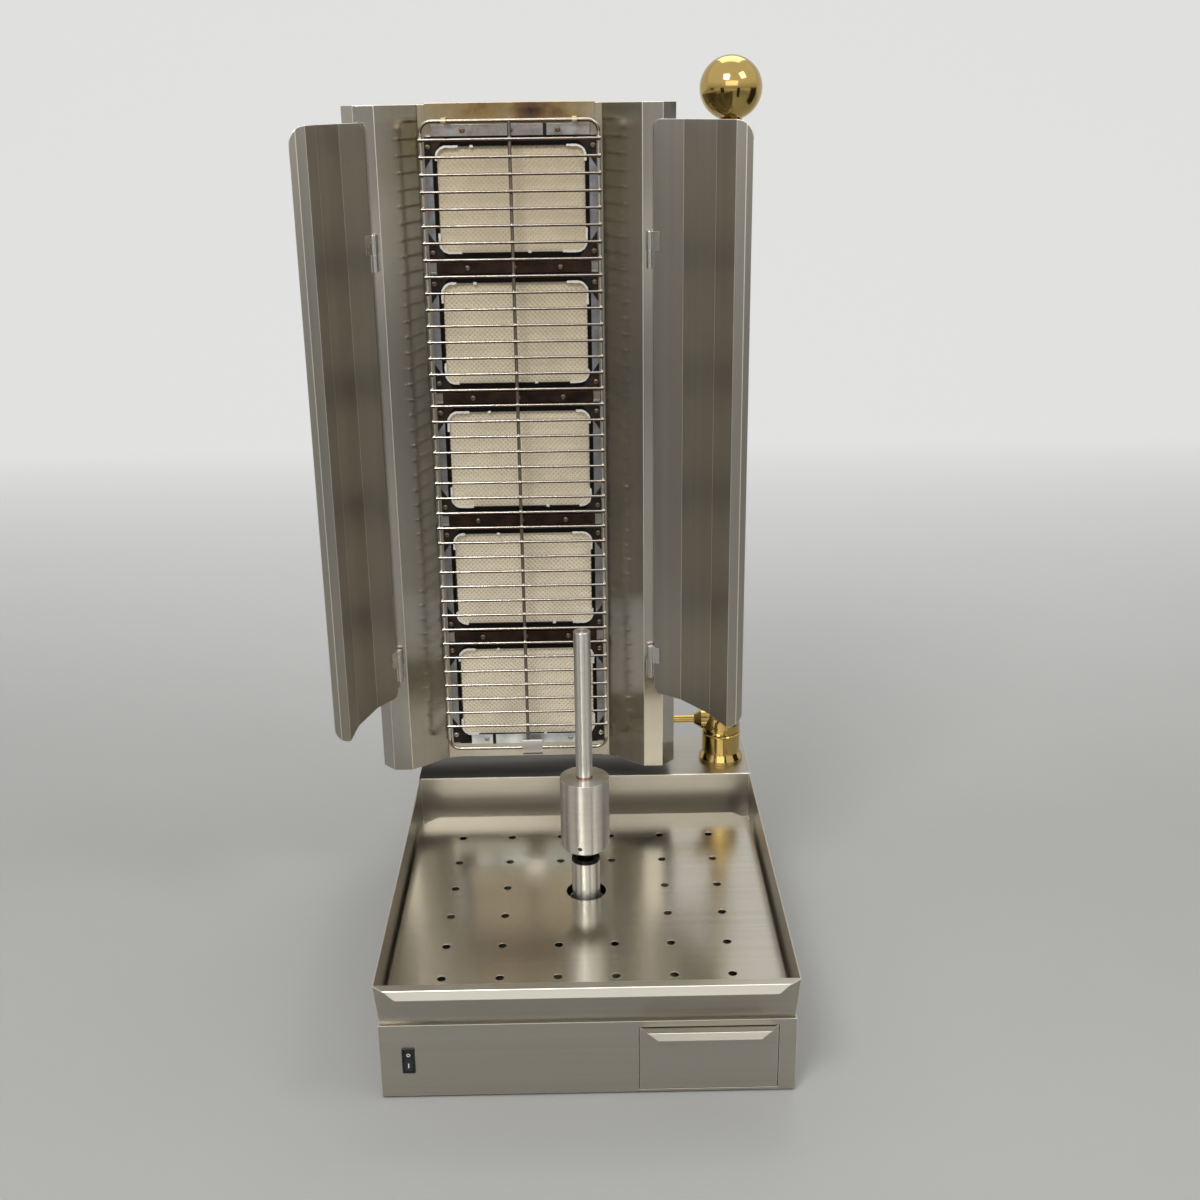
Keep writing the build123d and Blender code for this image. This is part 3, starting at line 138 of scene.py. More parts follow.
# Floor that bends up into a backdrop, in metres, and its colour far from the grill
SWEEP_HALF = 18.0
SWEEP_FRONT = -14.0
SWEEP_BACK = 3.2
SWEEP_BEND = 1.2
SWEEP_TOP = 6.0
FAR_COLOUR = (0.78, 0.78, 0.77)


def colour_setting(name, description, default):
    """A colour that a user can change."""
    return FloatVectorProperty(name=name, description=description, subtype="COLOR", default=default)


def length_setting(name, description, default):
    """A length that a user can change."""
    return FloatProperty(name=name, description=description, unit="LENGTH", default=default)


def angle_setting(name, description, default):
    """An angle that a user can change."""
    return FloatProperty(name=name, description=description, subtype="ANGLE", default=default)


class SteelSettings(PropertyGroup):
    """Finish of the folded, turned and drawn steel."""

    sheet_colour: colour_setting("Sheet colour", "Brushed stainless sheet", (0.455, 0.428, 0.37))
    grain_depth: length_setting("Grain depth", "Depth of the brush lines", 0.00002)
    edge_break: length_setting("Edge break", "Width of the broken sheet edges", 0.0005)
    wire_colour: colour_setting("Wire colour", "Bright grille wire", (0.66, 0.64, 0.60))
    weld_radius: length_setting("Weld radius", "Size of a weld bead on the grille", 0.0032)


class BrassSettings(PropertyGroup):
    """Finish of the post, head, arm and ball."""

    colour: colour_setting("Brass colour", "Polished brass", (0.48, 0.34, 0.115))
    roughness: FloatProperty(
        name="Brass roughness", description="Roughness of the polish", subtype="FACTOR", default=0.09
    )


class BurnerSettings(PropertyGroup):
    """Plaques, gaskets and dark ironwork of the burners."""

    plaque_colour: colour_setting("Plaque colour", "Cream ceramic", (0.88, 0.79, 0.62))
    relief_pitch: length_setting("Relief pitch", "Spacing of the plaque's relief", RELIEF_PITCH)
    relief_depth: length_setting("Relief depth", "Half height of the plaque's relief", RELIEF_DEPTH)
    relief_columns: IntProperty(name="Columns", description="Points across a plaque", default=RELIEF_GRID[0])
    relief_rows: IntProperty(name="Rows", description="Points up a plaque", default=RELIEF_GRID[1])
    joint_gap: length_setting("Joint gap", "Dark joint between a burner's two plaques", 0.0022)
    gasket_width: length_setting("Gasket width", "Mean width of the white fibre that shows", 0.0026)
    iron_colour: colour_setting("Iron colour", "Burnt iron of the gussets", (0.014, 0.012, 0.011))


class StageSettings(PropertyGroup):
    """Camera at the photograph's view, floor and surround."""

    camera_place: FloatVectorProperty(
        name="Camera place", description="Where the camera stands", subtype="TRANSLATION",
        default=(0.00733, -1.72512, 1.09943),
    )
    camera_turn: angle_setting("Turn", "Turn about Z", -0.0093)
    camera_fall: angle_setting("Fall", "Downward tilt", 0.3339)
    camera_roll: angle_setting("Roll", "Roll of the picture", -0.0135)
    lens: FloatProperty(name="Lens", description="Focal length on a 36 mm sensor", default=43.678)
    floor_colour: colour_setting("Floor colour", "Pale floor near the grill", (0.40, 0.40, 0.39))
    world_strength: FloatProperty(
        name="World strength", description="Level of the light from the surround", default=0.6
    )


def add_node(tree, kind, inputs=None, **settings):
    """Add a node, set its properties and fill its inputs: sockets are linked, other values are set."""
    made = tree.nodes.new(kind)
    for key, value in settings.items():
        setattr(made, key, value)
    for key, value in (inputs or {}).items():
        if isinstance(value, bpy.types.NodeSocket):
            tree.links.new(value, made.inputs[key])
        else:
            made.inputs[key].default_value = value
    return made


def maths(tree, operation, *values):
    """Result of a Math node."""
    return add_node(tree, "ShaderNodeMath", dict(enumerate(values)), operation=operation).outputs[0]


def times(tree, first, *others):
    """Product of values."""
    for value in others:
        first = maths(tree, "MULTIPLY", first, value)
    return first


def scaled(tree, vector, stretch):
    """A vector times another, part by part."""
    return add_node(tree, "ShaderNodeVectorMath", {0: vector, 1: stretch}, operation="MULTIPLY").outputs[0]


def parts_of(tree, vector):
    """X, Y and Z of a vector."""
    return add_node(tree, "ShaderNodeSeparateXYZ", {0: vector}).outputs


def spread(tree, value, low, high, first=0.0, last=1.0):
    """Map a value's range onto another, held at both ends."""
    inputs = {"Value": value, "From Min": low, "From Max": high, "To Min": first, "To Max": last}
    return add_node(tree, "ShaderNodeMapRange", inputs).outputs["Result"]


def band(tree, value, start, full, fade, end):
    """1 between two levels, with a soft edge on each side."""
    return times(tree, spread(tree, value, start, full), spread(tree, value, end, fade))


def noise(tree, vector, scale, detail=3.0, roughness=0.55):
    """Value of a noise texture."""
    inputs = {"Vector": vector, "Scale": scale, "Detail": detail, "Roughness": roughness}
    return add_node(tree, "ShaderNodeTexNoise", inputs).outputs["Fac"]


def blend(tree, factor, first, second, how="MIX"):
    """Two colours mixed by a factor, each a socket or a plain RGB colour."""
    inputs = {0: factor}
    for key, colour in ((6, first), (7, second)):
        inputs[key] = colour if isinstance(colour, bpy.types.NodeSocket) else (*colour, 1.0)
    return add_node(tree, "ShaderNodeMix", inputs, data_type="RGBA", blend_type=how).outputs[2]


def ramp(tree, factor, stops):
    """Colours along a factor, from (position, colour) stops."""
    made = add_node(tree, "ShaderNodeValToRGB", {"Fac": factor})
    elements = made.color_ramp.elements
    for index, (position, colour) in enumerate(stops):
        stop = elements[index] if index < 2 else elements.new(position)
        stop.position = position
        stop.color = (*colour, 1.0)
    return made.outputs["Color"]


def shade(colour, share):
    """A colour made lighter or darker."""
    return tuple(min(1.0, part * share) for part in colour)


def diamonds(tree, across, up, turn):
    """Two waves that cross into diamonds, from -1 to 1."""
    waves = [maths(tree, "COSINE", times(tree, spot, turn)) for spot in (across, up)]
    return times(tree, *waves)


def new_group(name, kind, inputs, outputs):
    """An empty node group with named sockets, and its input and output nodes."""
    tree = bpy.data.node_groups.new(name, kind)
    for label, socket_type, default in inputs:
        socket = tree.interface.new_socket(label, in_out="INPUT", socket_type=socket_type)
        if default is not None:
            socket.default_value = default
    for label, socket_type in outputs:
        tree.interface.new_socket(label, in_out="OUTPUT", socket_type=socket_type)
    return tree, tree.nodes.new("NodeGroupInput").outputs, tree.nodes.new("NodeGroupOutput").inputs


def make_brush_group():
    """Brush lines: fine height, broad streaks and the lines' direction on walls and on level faces."""
    tree, given, result = new_group(
        "Brush lines",
        "ShaderNodeTree",
        [
            ("Vector", "NodeSocketVector", None),
            ("Wall Stretch", "NodeSocketVector", UPRIGHT_GRAIN[0]),
            ("Level Stretch", "NodeSocketVector", UPRIGHT_GRAIN[1]),
        ],
        [("Height", "NodeSocketFloat"), ("Streak", "NodeSocketFloat")],
    )
    facing = add_node(tree, "ShaderNodeNewGeometry").outputs["True Normal"]
    level = maths(tree, "GREATER_THAN", maths(tree, "ABSOLUTE", parts_of(tree, facing)["Z"]), 0.7)
    wall = scaled(tree, given["Vector"], given["Wall Stretch"])
    flat = scaled(tree, given["Vector"], given["Level Stretch"])
    lines = add_node(tree, "ShaderNodeMix", {0: level, 4: wall, 5: flat}, data_type="VECTOR").outputs[1]
    tree.links.new(noise(tree, lines, 1.0, 2.0, 0.7), result["Height"])
    tree.links.new(noise(tree, lines, 0.045, 5.0, 0.7), result["Streak"])


def make_marks_group():
    """Handling marks and dried films: a soft blotchy mask."""
    tree, given, result = new_group(
        "Handling marks",
        "ShaderNodeTree",
        [("Vector", "NodeSocketVector", None), ("Scale", "NodeSocketFloat", 9.0)],
        [("Mask", "NodeSocketFloat")],
    )
    cloud = noise(tree, given["Vector"], given["Scale"], 6.0, 0.6)
    tree.links.new(spread(tree, cloud, 0.46, 0.74), result["Mask"])


def make_heat_group():
    """Temper colours that heat leaves on bright steel."""
    tree, given, result = new_group(
        "Heat tint",
        "ShaderNodeTree",
        [("Colour", "NodeSocketColor", (1.0, 1.0, 1.0, 1.0)), ("Heat", "NodeSocketFloat", 0.0)],
        [("Colour", "NodeSocketColor")],
    )
    temper = ramp(tree, given["Heat"], [
        (0.0, (1.0, 1.0, 1.0)),
        (0.3, (0.92, 0.80, 0.56)),
        (0.55, (0.72, 0.52, 0.26)),
        (0.75, (0.42, 0.27, 0.17)),
        (0.9, (0.22, 0.15, 0.12)),
        (1.0, (0.09, 0.07, 0.065)),
    ])
    tree.links.new(blend(tree, 1.0, given["Colour"], temper, "MULTIPLY"), result["Colour"])


def place(tree, name, inputs):
    """Put a shared group into a material and return its outputs."""
    return add_node(tree, "ShaderNodeGroup", inputs, node_tree=bpy.data.node_groups[name]).outputs


def new_material(name, **constants):
    """A material with one Principled shader, its constant sockets set, and its Object coordinates."""
    material = bpy.data.materials.new(name)
    material.use_nodes = True
    tree = material.node_tree
    shader = tree.nodes["Principled BSDF"]
    for key, value in constants.items():
        shader.inputs[key.replace("_", " ")].default_value = value
    return material, tree, add_node(tree, "ShaderNodeTexCoord").outputs["Object"]


def surface(material, tone, rough, height, depth):
    """Feed a material's colour, roughness and bump, and return it."""
    tree = material.node_tree
    raised = add_node(tree, "ShaderNodeBump", {"Height": height, "Distance": depth, "Strength": 1.0})
    sockets = tree.nodes["Principled BSDF"].inputs
    tree.links.new(tone, sockets["Base Color"])
    tree.links.new(rough, sockets["Roughness"])
    tree.links.new(raised.outputs["Normal"], sockets["Normal"])
    return material


def stain_or_painted_shade(material, mask, colour):
    """Lay a colour over a finished material by a mask: a real stain, or painted shade."""
    tree = material.node_tree
    base = tree.nodes["Principled BSDF"].inputs["Base Color"]
    tree.links.new(blend(tree, mask, base.links[0].from_socket, colour), base)


def own_parts(material):
    """X, Y and Z of a finished material's Object coordinates."""
    tree = material.node_tree
    return parts_of(tree, tree.nodes["Texture Coordinate"].outputs["Object"])


def handling(tree, here, scale):
    """Mask of handling marks."""
    return place(tree, "Handling marks", {"Vector": here, "Scale": scale})["Mask"]


def from_middle(tree, here):
    """Distance in x from the middle of the tower."""
    return maths(tree, "ABSOLUTE", maths(tree, "SUBTRACT", parts_of(tree, here)["X"], tower_middle.x))


def clouded(tree, cloud, first, second):
    """Two colours in the broad patches of a cloud."""
    return blend(tree, spread(tree, cloud, 0.35, 0.7), first, second)


def top_heat(tree, here, foot, head, strength, reach=0.155):
    """Heat that gathers towards the top of the tower, broken up by noise."""
    middle = spread(tree, from_middle(tree, here), reach, reach * 0.25)
    rise = spread(tree, parts_of(tree, here)["Z"], foot, head)
    broken = spread(tree, noise(tree, here, 22.0, 5.0), 0.3, 0.72, 0.35, 1.0)
    return times(tree, rise, middle, broken, strength)


def brushed_steel(name, colour, roughness, grain, depth, heat=None, marks=9.0, stretch=0.0, turn=0.0):
    """Brushed sheet with streaks and handling marks, and with heat where top_heat's values are given."""
    material, tree, here = new_material(name, Metallic=1.0, Anisotropic=stretch, Anisotropic_Rotation=turn)
    lines = place(tree, "Brush lines", {"Vector": here, "Wall Stretch": grain[0], "Level Stretch": grain[1]})
    film = handling(tree, here, marks)
    tone = blend(tree, spread(tree, lines["Streak"], 0.3, 0.7), shade(colour, 0.94), shade(colour, 1.05))
    tone = blend(tree, times(tree, film, 0.16), tone, shade(colour, 0.75))
    if heat:
        warmth = top_heat(tree, here, *heat)
        tone = place(tree, "Heat tint", {"Colour": tone, "Heat": warmth})["Colour"]
    rough = maths(tree, "MULTIPLY_ADD", film, 0.05, roughness)
    rough = maths(tree, "MULTIPLY_ADD", lines["Streak"], 0.06, rough)
    return surface(material, tone, rough, lines["Height"], depth)


def flame_wire(colour):
    """Bright drawn wire with brown patches, its lower half darkened by painted shade."""
    material, tree, here = new_material("Bright wire", Metallic=1.0)
    facing = parts_of(tree, add_node(tree, "ShaderNodeNewGeometry").outputs["True Normal"])
    patch = spread(tree, noise(tree, here, 30.0, 4.0), 0.35, 0.7)
    clean = blend(tree, times(tree, patch, 0.6), shade(colour, 0.95), (0.48, 0.36, 0.22))
    upright = spread(tree, maths(tree, "ABSOLUTE", facing["Z"]), 0.02, 0.0)
    upright = times(tree, upright, spread(tree, from_middle(tree, here), 0.01, 0.02, 0.25, 1.0))
    # Painted shade: faces that point downwards turn dark brown, less so on upright faces away from the
    # middle
    underside_shade = maths(tree, "SUBTRACT", spread(tree, facing["Z"], 0.48, 0.22), upright)
    tone = blend(tree, underside_shade, clean, (0.10, 0.065, 0.045))
    rough = maths(tree, "MULTIPLY_ADD", underside_shade, 0.25, spread(tree, patch, 0.0, 1.0, 0.14, 0.3))
    return surface(material, tone, rough, noise(tree, here, 260.0, 3.0), 0.00008)


def polished_brass(brass):
    """Polished brass with faint turning lines and a little tarnish."""
    material, tree, here = new_material("Polished brass", Metallic=1.0)
    lines = place(tree, "Brush lines", {"Vector": here, "Wall Stretch": TURNED_GRAIN[0]})
    film = handling(tree, here, 18.0)
    tone = blend(tree, times(tree, film, 0.5), brass.colour, shade(brass.colour, 0.7))
    rough = maths(tree, "MULTIPLY_ADD", film, 0.1, brass.roughness)
    return surface(material, tone, rough, lines["Streak"], 0.00002)


def burnt_iron(colour):
    """Dark burnt iron with a sandy skin and brown scale."""
    material, tree, here = new_material("Burnt iron", Metallic=0.6)
    scale = spread(tree, noise(tree, here, 60.0, 5.0), 0.45, 0.75)
    tone = blend(tree, scale, colour, (0.05, 0.028, 0.018))
    rough = spread(tree, noise(tree, here, 200.0, 3.0), 0.3, 0.7, 0.5, 0.85)
    return surface(material, tone, rough, noise(tree, here, 900.0, 3.0), 0.0002)


def screw_steel():
    """Zinc screws: bright low on the tower, browned towards its head."""
    material, tree, here = new_material("Screw steel", Metallic=1.0)
    patch = noise(tree, here, 120.0, 4.0)
    bright = blend(tree, patch, (0.62, 0.60, 0.56), (0.34, 0.30, 0.26))
    burnt = blend(tree, patch, (0.24, 0.14, 0.07), (0.08, 0.05, 0.035))
    tone = blend(tree, spread(tree, parts_of(tree, here)["Z"], 0.24, 0.32, 0.0, 0.8), bright, burnt)
    return surface(material, tone, spread(tree, patch, 0.3, 0.7, 0.2, 0.45), patch, 0.0003)


def plaque_ceramic(burners):
    """Cream ceramic with painted shade in the relief's troughs for the flame ports, pale crests, and painted
    shade that darkens and browns it towards the head of the tower.
    """
    material, tree, here = new_material("Cream ceramic")
    spot = parts_of(tree, here)
    relief = diamonds(tree, spot["X"], spot["Z"], 2 * pi / burners.relief_pitch)
    cloud = spread(tree, noise(tree, here, 14.0, 5.0), 0.4, 0.75)
    tone = blend(tree, cloud, shade(burners.plaque_colour, 1.08), shade(burners.plaque_colour, 0.8))
    # Painted shade: the relief's troughs darkened, standing for the flame ports
    tone = blend(tree, times(tree, spread(tree, relief, -0.1, -0.8), 0.5), tone, (0.30, 0.23, 0.14))
    # Painted shade: darker and browner towards the head of the tower
    tone = blend(tree, spread(tree, spot["Z"], 0.25, 1.0, 0.05, 0.6), tone, (0.46, 0.36, 0.22))
    rough = spread(tree, cloud, 0.0, 1.0, 0.8, 0.95)
    return surface(material, tone, rough, noise(tree, here, 1500.0, 3.0), 0.0002)


def strap_steel():
    """Straps: zinc at the foot of the tower, grey steel at the head, burnt brown between the burners."""
    material, tree, here = new_material("Burnt strap", Metallic=1.0)
    height = parts_of(tree, here)["Z"]
    cloud = noise(tree, here, 45.0, 5.0)
    burnt = clouded(tree, cloud, (0.024, 0.018, 0.016), (0.062, 0.034, 0.024))
    zinc = clouded(tree, cloud, (0.78, 0.84, 0.86), (0.50, 0.55, 0.58))
    grey = clouded(tree, cloud, (0.40, 0.38, 0.36), (0.22, 0.19, 0.17))
    tone = blend(tree, spread(tree, height, 0.29, 0.30), zinc, burnt)
    tone = blend(tree, spread(tree, height, 1.02, 1.03), tone, grey)
    rough = spread(tree, cloud, 0.3, 0.7, 0.3, 0.55)
    return surface(material, tone, rough, noise(tree, here, 300.0, 3.0), 0.0002)


def frame_steel():
    """Burner frames: blue-grey sides with a dark slot beside the plaques."""
    material, tree, here = new_material("Blued frame", Metallic=1.0)
    cloud = noise(tree, here, 50.0, 5.0)
    blued = clouded(tree, cloud, (0.34, 0.35, 0.38), (0.20, 0.185, 0.18))
    slot = spread(tree, from_middle(tree, here), 0.0988, 0.0994)
    tone = blend(tree, slot, (0.012, 0.011, 0.010), blued)
    return surface(material, tone, spread(tree, cloud, 0.3, 0.7, 0.3, 0.5), cloud, 0.0004)


def mottled(name, tones, rough, depth, marks=None, fuzz=None, grain=None, **constants):
    """Two tones mixed by handling marks or a fuzz, with a bump from the grain or else from the fuzz."""
    material, tree, here = new_material(name, **constants)
    mask = handling(tree, here, marks) if marks else noise(tree, here, *fuzz)
    height = noise(tree, here, *grain) if grain else mask
    return surface(material, blend(tree, mask, *tones), spread(tree, mask, 0.0, 1.0, *rough), height, depth)


def black_plastic():
    """Moulded black plastic with a fine spark-eroded grain."""
    tones = (0.010, 0.010, 0.011), (0.022, 0.022, 0.023)
    return mottled("Black plastic", tones, (0.32, 0.5), 0.00004, marks=60.0, grain=(2500.0, 2.0), IOR=1.5)


def white_fibre():
    """Loose white ceramic fibre."""
    tones = (0.90, 0.88, 0.82), (0.70, 0.66, 0.58)
    return mottled("White fibre", tones, (0.85, 1.0), 0.0006, fuzz=(700.0, 4.0))


def machine_paint():
    """Grey machine paint with an orange-peel skin."""
    tones = (0.24, 0.25, 0.26), (0.15, 0.15, 0.15)
    return mottled("Machine paint", tones, (0.4, 0.6), 0.0002, marks=20.0, grain=(400.0, 2.0))


def white_print():
    """White marks printed on plastic."""
    tones = (0.8, 0.8, 0.78), (0.55, 0.55, 0.53)
    return mottled("White print", tones, (0.4, 0.6), 0.00003, fuzz=(900.0, 3.0))


def seeing_rays(tree):
    """1 for rays that see the background, from the camera, off metal and through glass."""
    rays = add_node(tree, "ShaderNodeLightPath").outputs
    thrown = maths(tree, "MAXIMUM", rays["Is Glossy Ray"], rays["Is Transmission Ray"])
    return maths(tree, "MAXIMUM", rays["Is Camera Ray"], thrown)


def new_piece(name, mesh, material):
    """Link a mesh as an object, with the material unless it has its materials already."""
    if not mesh.materials:
        mesh.materials.append(material)
    piece = bpy.data.objects.new(name, mesh)
    bpy.context.scene.collection.objects.link(piece)
    return piece


def settle(piece, body, slot, *nodes):
    """Let a finished piece ride on its body and stand for CAD nodes; the slot is not used."""
    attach(piece, body)
    if nodes:
        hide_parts(*nodes)


def merged_mesh(node):
    """A CAD node's mesh with its loose triangles joined and its flat faces made whole."""
    work = bmesh.new()
    work.from_mesh(frame["nodes"][node].data)
    bmesh.ops.remove_doubles(work, verts=work.verts, dist=1e-6)
    bmesh.ops.dissolve_limit(work, angle_limit=radians(0.2), verts=work.verts, edges=work.edges)
    return work


def smooth(mesh, angle=FOLD_ANGLE):
    """Smooth shading with sharp edges kept."""
    normals = mesh.attributes.get("custom_normal")
    if normals:
        mesh.attributes.remove(normals)
    mesh.shade_smooth()
    mesh.set_sharp_from_angle(angle=radians(angle))


def dress(node, material, slot, edge=0.0, painted_edge_highlight=None):
    """Stand a merged copy of a CAD node in its place, its sharp edges broken by a bevel whose faces take a
    painted highlight where a highlight finish is given.
    """
    work = merged_mesh(node)
    if edge:
        sharp = [e for e in work.edges if e.is_manifold and e.calc_face_angle(0.0) > radians(FOLD_ANGLE)]
        rim = 1 if painted_edge_highlight else -1
        bmesh.ops.bevel(
            work, geom=sharp, offset=edge, segments=2, profile=0.5, affect="EDGES", material=rim
        )
        low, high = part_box(node)
        for vert in work.verts:
            vert.co = [max(low[axis], min(high[axis], vert.co[axis])) for axis in range(3)]
    mesh = bpy.data.meshes.new(f"{node}_skin")
    work.to_mesh(mesh)
    work.free()
    smooth(mesh)
    carrier = new_piece(f"{node}_carrier", mesh, material)
    if painted_edge_highlight:
        mesh.materials.append(painted_edge_highlight)
    weights = carrier.modifiers.new("Face weights", "WEIGHTED_NORMAL")
    weights.keep_sharp = True
    weights.weight = 100
    piece = new_piece(f"{node}_skin", plain_mesh(carrier, f"{node}_skin"), material)
    settle(piece, body_of[node], slot, node)
    return piece


def coat(node, material):
    """Give a CAD node that keeps its own mesh a finish."""
    mesh = frame["nodes"][node].data
    mesh.materials.clear()
    mesh.materials.append(material)


def plain_mesh(piece, name):
    """Evaluate an object's modifiers into a plain mesh and remove the object."""
    depsgraph = bpy.context.evaluated_depsgraph_get()
    mesh = bpy.data.meshes.new_from_object(piece.evaluated_get(depsgraph))
    mesh.name = name
    bpy.data.objects.remove(piece)
    return mesh


def run_tree(name, tree, mesh, values):
    """Run a Geometry Nodes tree on a mesh with named inputs and return the plain result."""
    carrier = bpy.data.objects.new(f"{name}_carrier", mesh)
    bpy.context.scene.collection.objects.link(carrier)
    modifier = carrier.modifiers.new(name, "NODES")
    modifier.node_group = tree
    sockets = {item.name: item.identifier for item in tree.interface.items_tree if item.in_out == "INPUT"}
    for label, value in values.items():
        modifier[sockets[label]] = value
    return plain_mesh(carrier, name)


def points_mesh(name, points, turns=None):
    """Loose points, each with its own turn."""
    mesh = bpy.data.meshes.new(name)
    mesh.from_pydata([tuple(point) for point in points], [], [])
    attribute = mesh.attributes.new("turn", "FLOAT_VECTOR", "POINT")
    for index, turn in enumerate(turns or [(0.0, 0.0, 0.0)] * len(points)):
        attribute.data[index].vector = turn
    return mesh


def on_points(tree, given, instance, inputs=None):
    """A shape placed on the tree's points and realised."""
    inputs = {"Points": given["Points"], "Instance": instance, **(inputs or {})}
    placed = add_node(tree, "GeometryNodeInstanceOnPoints", inputs).outputs[0]
    return add_node(tree, "GeometryNodeRealizeInstances", {0: placed}).outputs[0]


def end_tree(tree, given, result, geometry):
    """End a tree with its finish."""
    finish = add_node(tree, "GeometryNodeSetMaterial", {0: geometry, "Material": given["Finish"]})
    tree.links.new(finish.outputs[0], result["Geometry"])


def make_copies_tree():
    """Geometry Nodes: copies of a template object on points, turned by each point's own attribute."""
    tree, given, result = new_group(
        "Copies on points",
        "GeometryNodeTree",
        [
            ("Points", "NodeSocketGeometry", None),
            ("Template", "NodeSocketObject", None),
            ("Finish", "NodeSocketMaterial", None),
        ],
        [("Geometry", "NodeSocketGeometry")],
    )
    template = add_node(tree, "GeometryNodeObjectInfo", {"Object": given["Template"]}).outputs["Geometry"]
    turn = add_node(tree, "GeometryNodeInputNamedAttribute", {"Name": "turn"}, data_type="FLOAT_VECTOR")
    rotation = add_node(tree, "FunctionNodeEulerToRotation", {0: turn.outputs["Attribute"]}).outputs[0]
    end_tree(tree, given, result, on_points(tree, given, template, {"Rotation": rotation}))


def make_plaque_tree():
    """Geometry Nodes: a ceramic block with a diamond relief on its face, on each point."""
    tree, given, result = new_group(
        "Relief plaque",
        "GeometryNodeTree",
        [
            ("Points", "NodeSocketGeometry", None),
            ("Width", "NodeSocketFloat", PLAQUE_SIZE[0]),
            ("Thickness", "NodeSocketFloat", PLAQUE_SIZE[1]),
            ("Height", "NodeSocketFloat", PLAQUE_SIZE[2]),
            ("Relief Pitch", "NodeSocketFloat", RELIEF_PITCH),
            ("Relief Depth", "NodeSocketFloat", RELIEF_DEPTH),
            ("Columns", "NodeSocketInt", RELIEF_GRID[0]),
            ("Rows", "NodeSocketInt", RELIEF_GRID[1]),
            ("Finish", "NodeSocketMaterial", None),
        ],
        [("Geometry", "NodeSocketGeometry")],
    )

    def vector(**parts):
        return add_node(tree, "ShaderNodeCombineXYZ", parts).outputs[0]

    def moved(geometry, **inputs):
        return add_node(tree, "GeometryNodeTransform", {"Geometry": geometry, **inputs}).outputs[0]

    width, thickness, height = given["Width"], given["Thickness"], given["Height"]
    depth = given["Relief Depth"]
    face = add_node(tree, "GeometryNodeMeshGrid", {
        "Size X": width,
        "Size Y": height,
        "Vertices X": given["Columns"],
        "Vertices Y": given["Rows"],
    }).outputs["Mesh"]
    spot = parts_of(tree, add_node(tree, "GeometryNodeInputPosition").outputs[0])
    turn = maths(tree, "DIVIDE", 2 * pi, given["Relief Pitch"])
    wave = times(tree, diamonds(tree, spot["X"], spot["Y"], turn), depth)
    offset = vector(Z=maths(tree, "SUBTRACT", wave, depth))
    raised = add_node(tree, "GeometryNodeSetPosition", {"Geometry": face, "Offset": offset}).outputs[0]
    size = vector(X=width, Y=thickness, Z=height)
    block = add_node(tree, "GeometryNodeMeshCube", {"Size": size}).outputs["Mesh"]
    back = maths(tree, "MULTIPLY_ADD", depth, 2.0, times(tree, thickness, 0.5))
    joined = tree.nodes.new("GeometryNodeJoinGeometry")
    tree.links.new(moved(raised, Rotation=(pi / 2, 0.0, 0.0)), joined.inputs[0])
    tree.links.new(moved(block, Translation=vector(Y=back)), joined.inputs[0])
    real = on_points(tree, given, joined.outputs[0])
    end_tree(tree, given, result, add_node(tree, "GeometryNodeSetShadeSmooth", {0: real}).outputs[0])


def burner_levels():
    """Heights of the burners' middles."""
    return [BURNER_FOOT + BURNER_PITCH * index for index in range(BURNER_COUNT)]


def finished_mesh(work, name, angle=40.0):
    """Close a bmesh into a smooth-shaded mesh with its faces outwards."""
    bmesh.ops.recalc_face_normals(work, faces=work.faces)
    mesh = bpy.data.meshes.new(name)
    work.to_mesh(mesh)
    work.free()
    smooth(mesh, angle)
    return mesh


def bent_strip(work, path, left, right, thick):
    """Add a strip of sheet bent along a path of (y, z) points, from one x to another."""
    rows = []
    for index, (y, z) in enumerate(path):
        before, after = path[max(0, index - 1)], path[min(len(path) - 1, index + 1)]
        along = Vector((after[0] - before[0], after[1] - before[1])).normalized()
        side = Vector((-along.y, along.x)) * thick / 2
        section = [(left, 1), (right, 1), (right, -1), (left, -1)]
        rows.append([work.verts.new((x, y + side.x * sign, z + side.y * sign)) for x, sign in section])
    for first, second in zip(rows, rows[1:]):
        for index in range(4):
            after = (index + 1) % 4
            work.faces.new((first[index], first[after], second[after], second[index]))
    work.faces.new(rows[0][::-1])
    work.faces.new(rows[-1])


def islands(node):
    """Corner pairs of each loose solid in a CAD node."""
    work = merged_mesh(node)
    left = set(work.verts)
    boxes = []
    while left:
        reached = [left.pop()]
        for vert in reached:
            for edge in vert.link_edges:
                other = edge.other_vert(vert)
                if other in left:
                    left.remove(other)
                    reached.append(other)
        low = Vector([min(v.co[axis] for v in reached) for axis in range(3)])
        high = Vector([max(v.co[axis] for v in reached) for axis in range(3)])
        boxes.append((low, high))
    work.free()
    return boxes


def template_object(name, rings, closed_top):
    """A template made of rings of equally many points, with a middle point on top."""
    mesh = bpy.data.meshes.new(name)
    count = len(rings[0])
    verts = [point for ring in rings for point in ring] + [closed_top]
    faces = []
    for level in range(len(rings) - 1):
        for index in range(count):
            after = (index + 1) % count
            low, high = level * count, (level + 1) * count
            faces.append((low + index, low + after, high + after, high + index))
    last = (len(rings) - 1) * count
    faces += [(last + index, last + (index + 1) % count, len(verts) - 1) for index in range(count)]
    mesh.from_pydata(verts, [], faces)
    smooth(mesh, 50.0)
    piece = bpy.data.objects.new(name, mesh)
    bpy.context.scene.collection.objects.link(piece)
    return piece


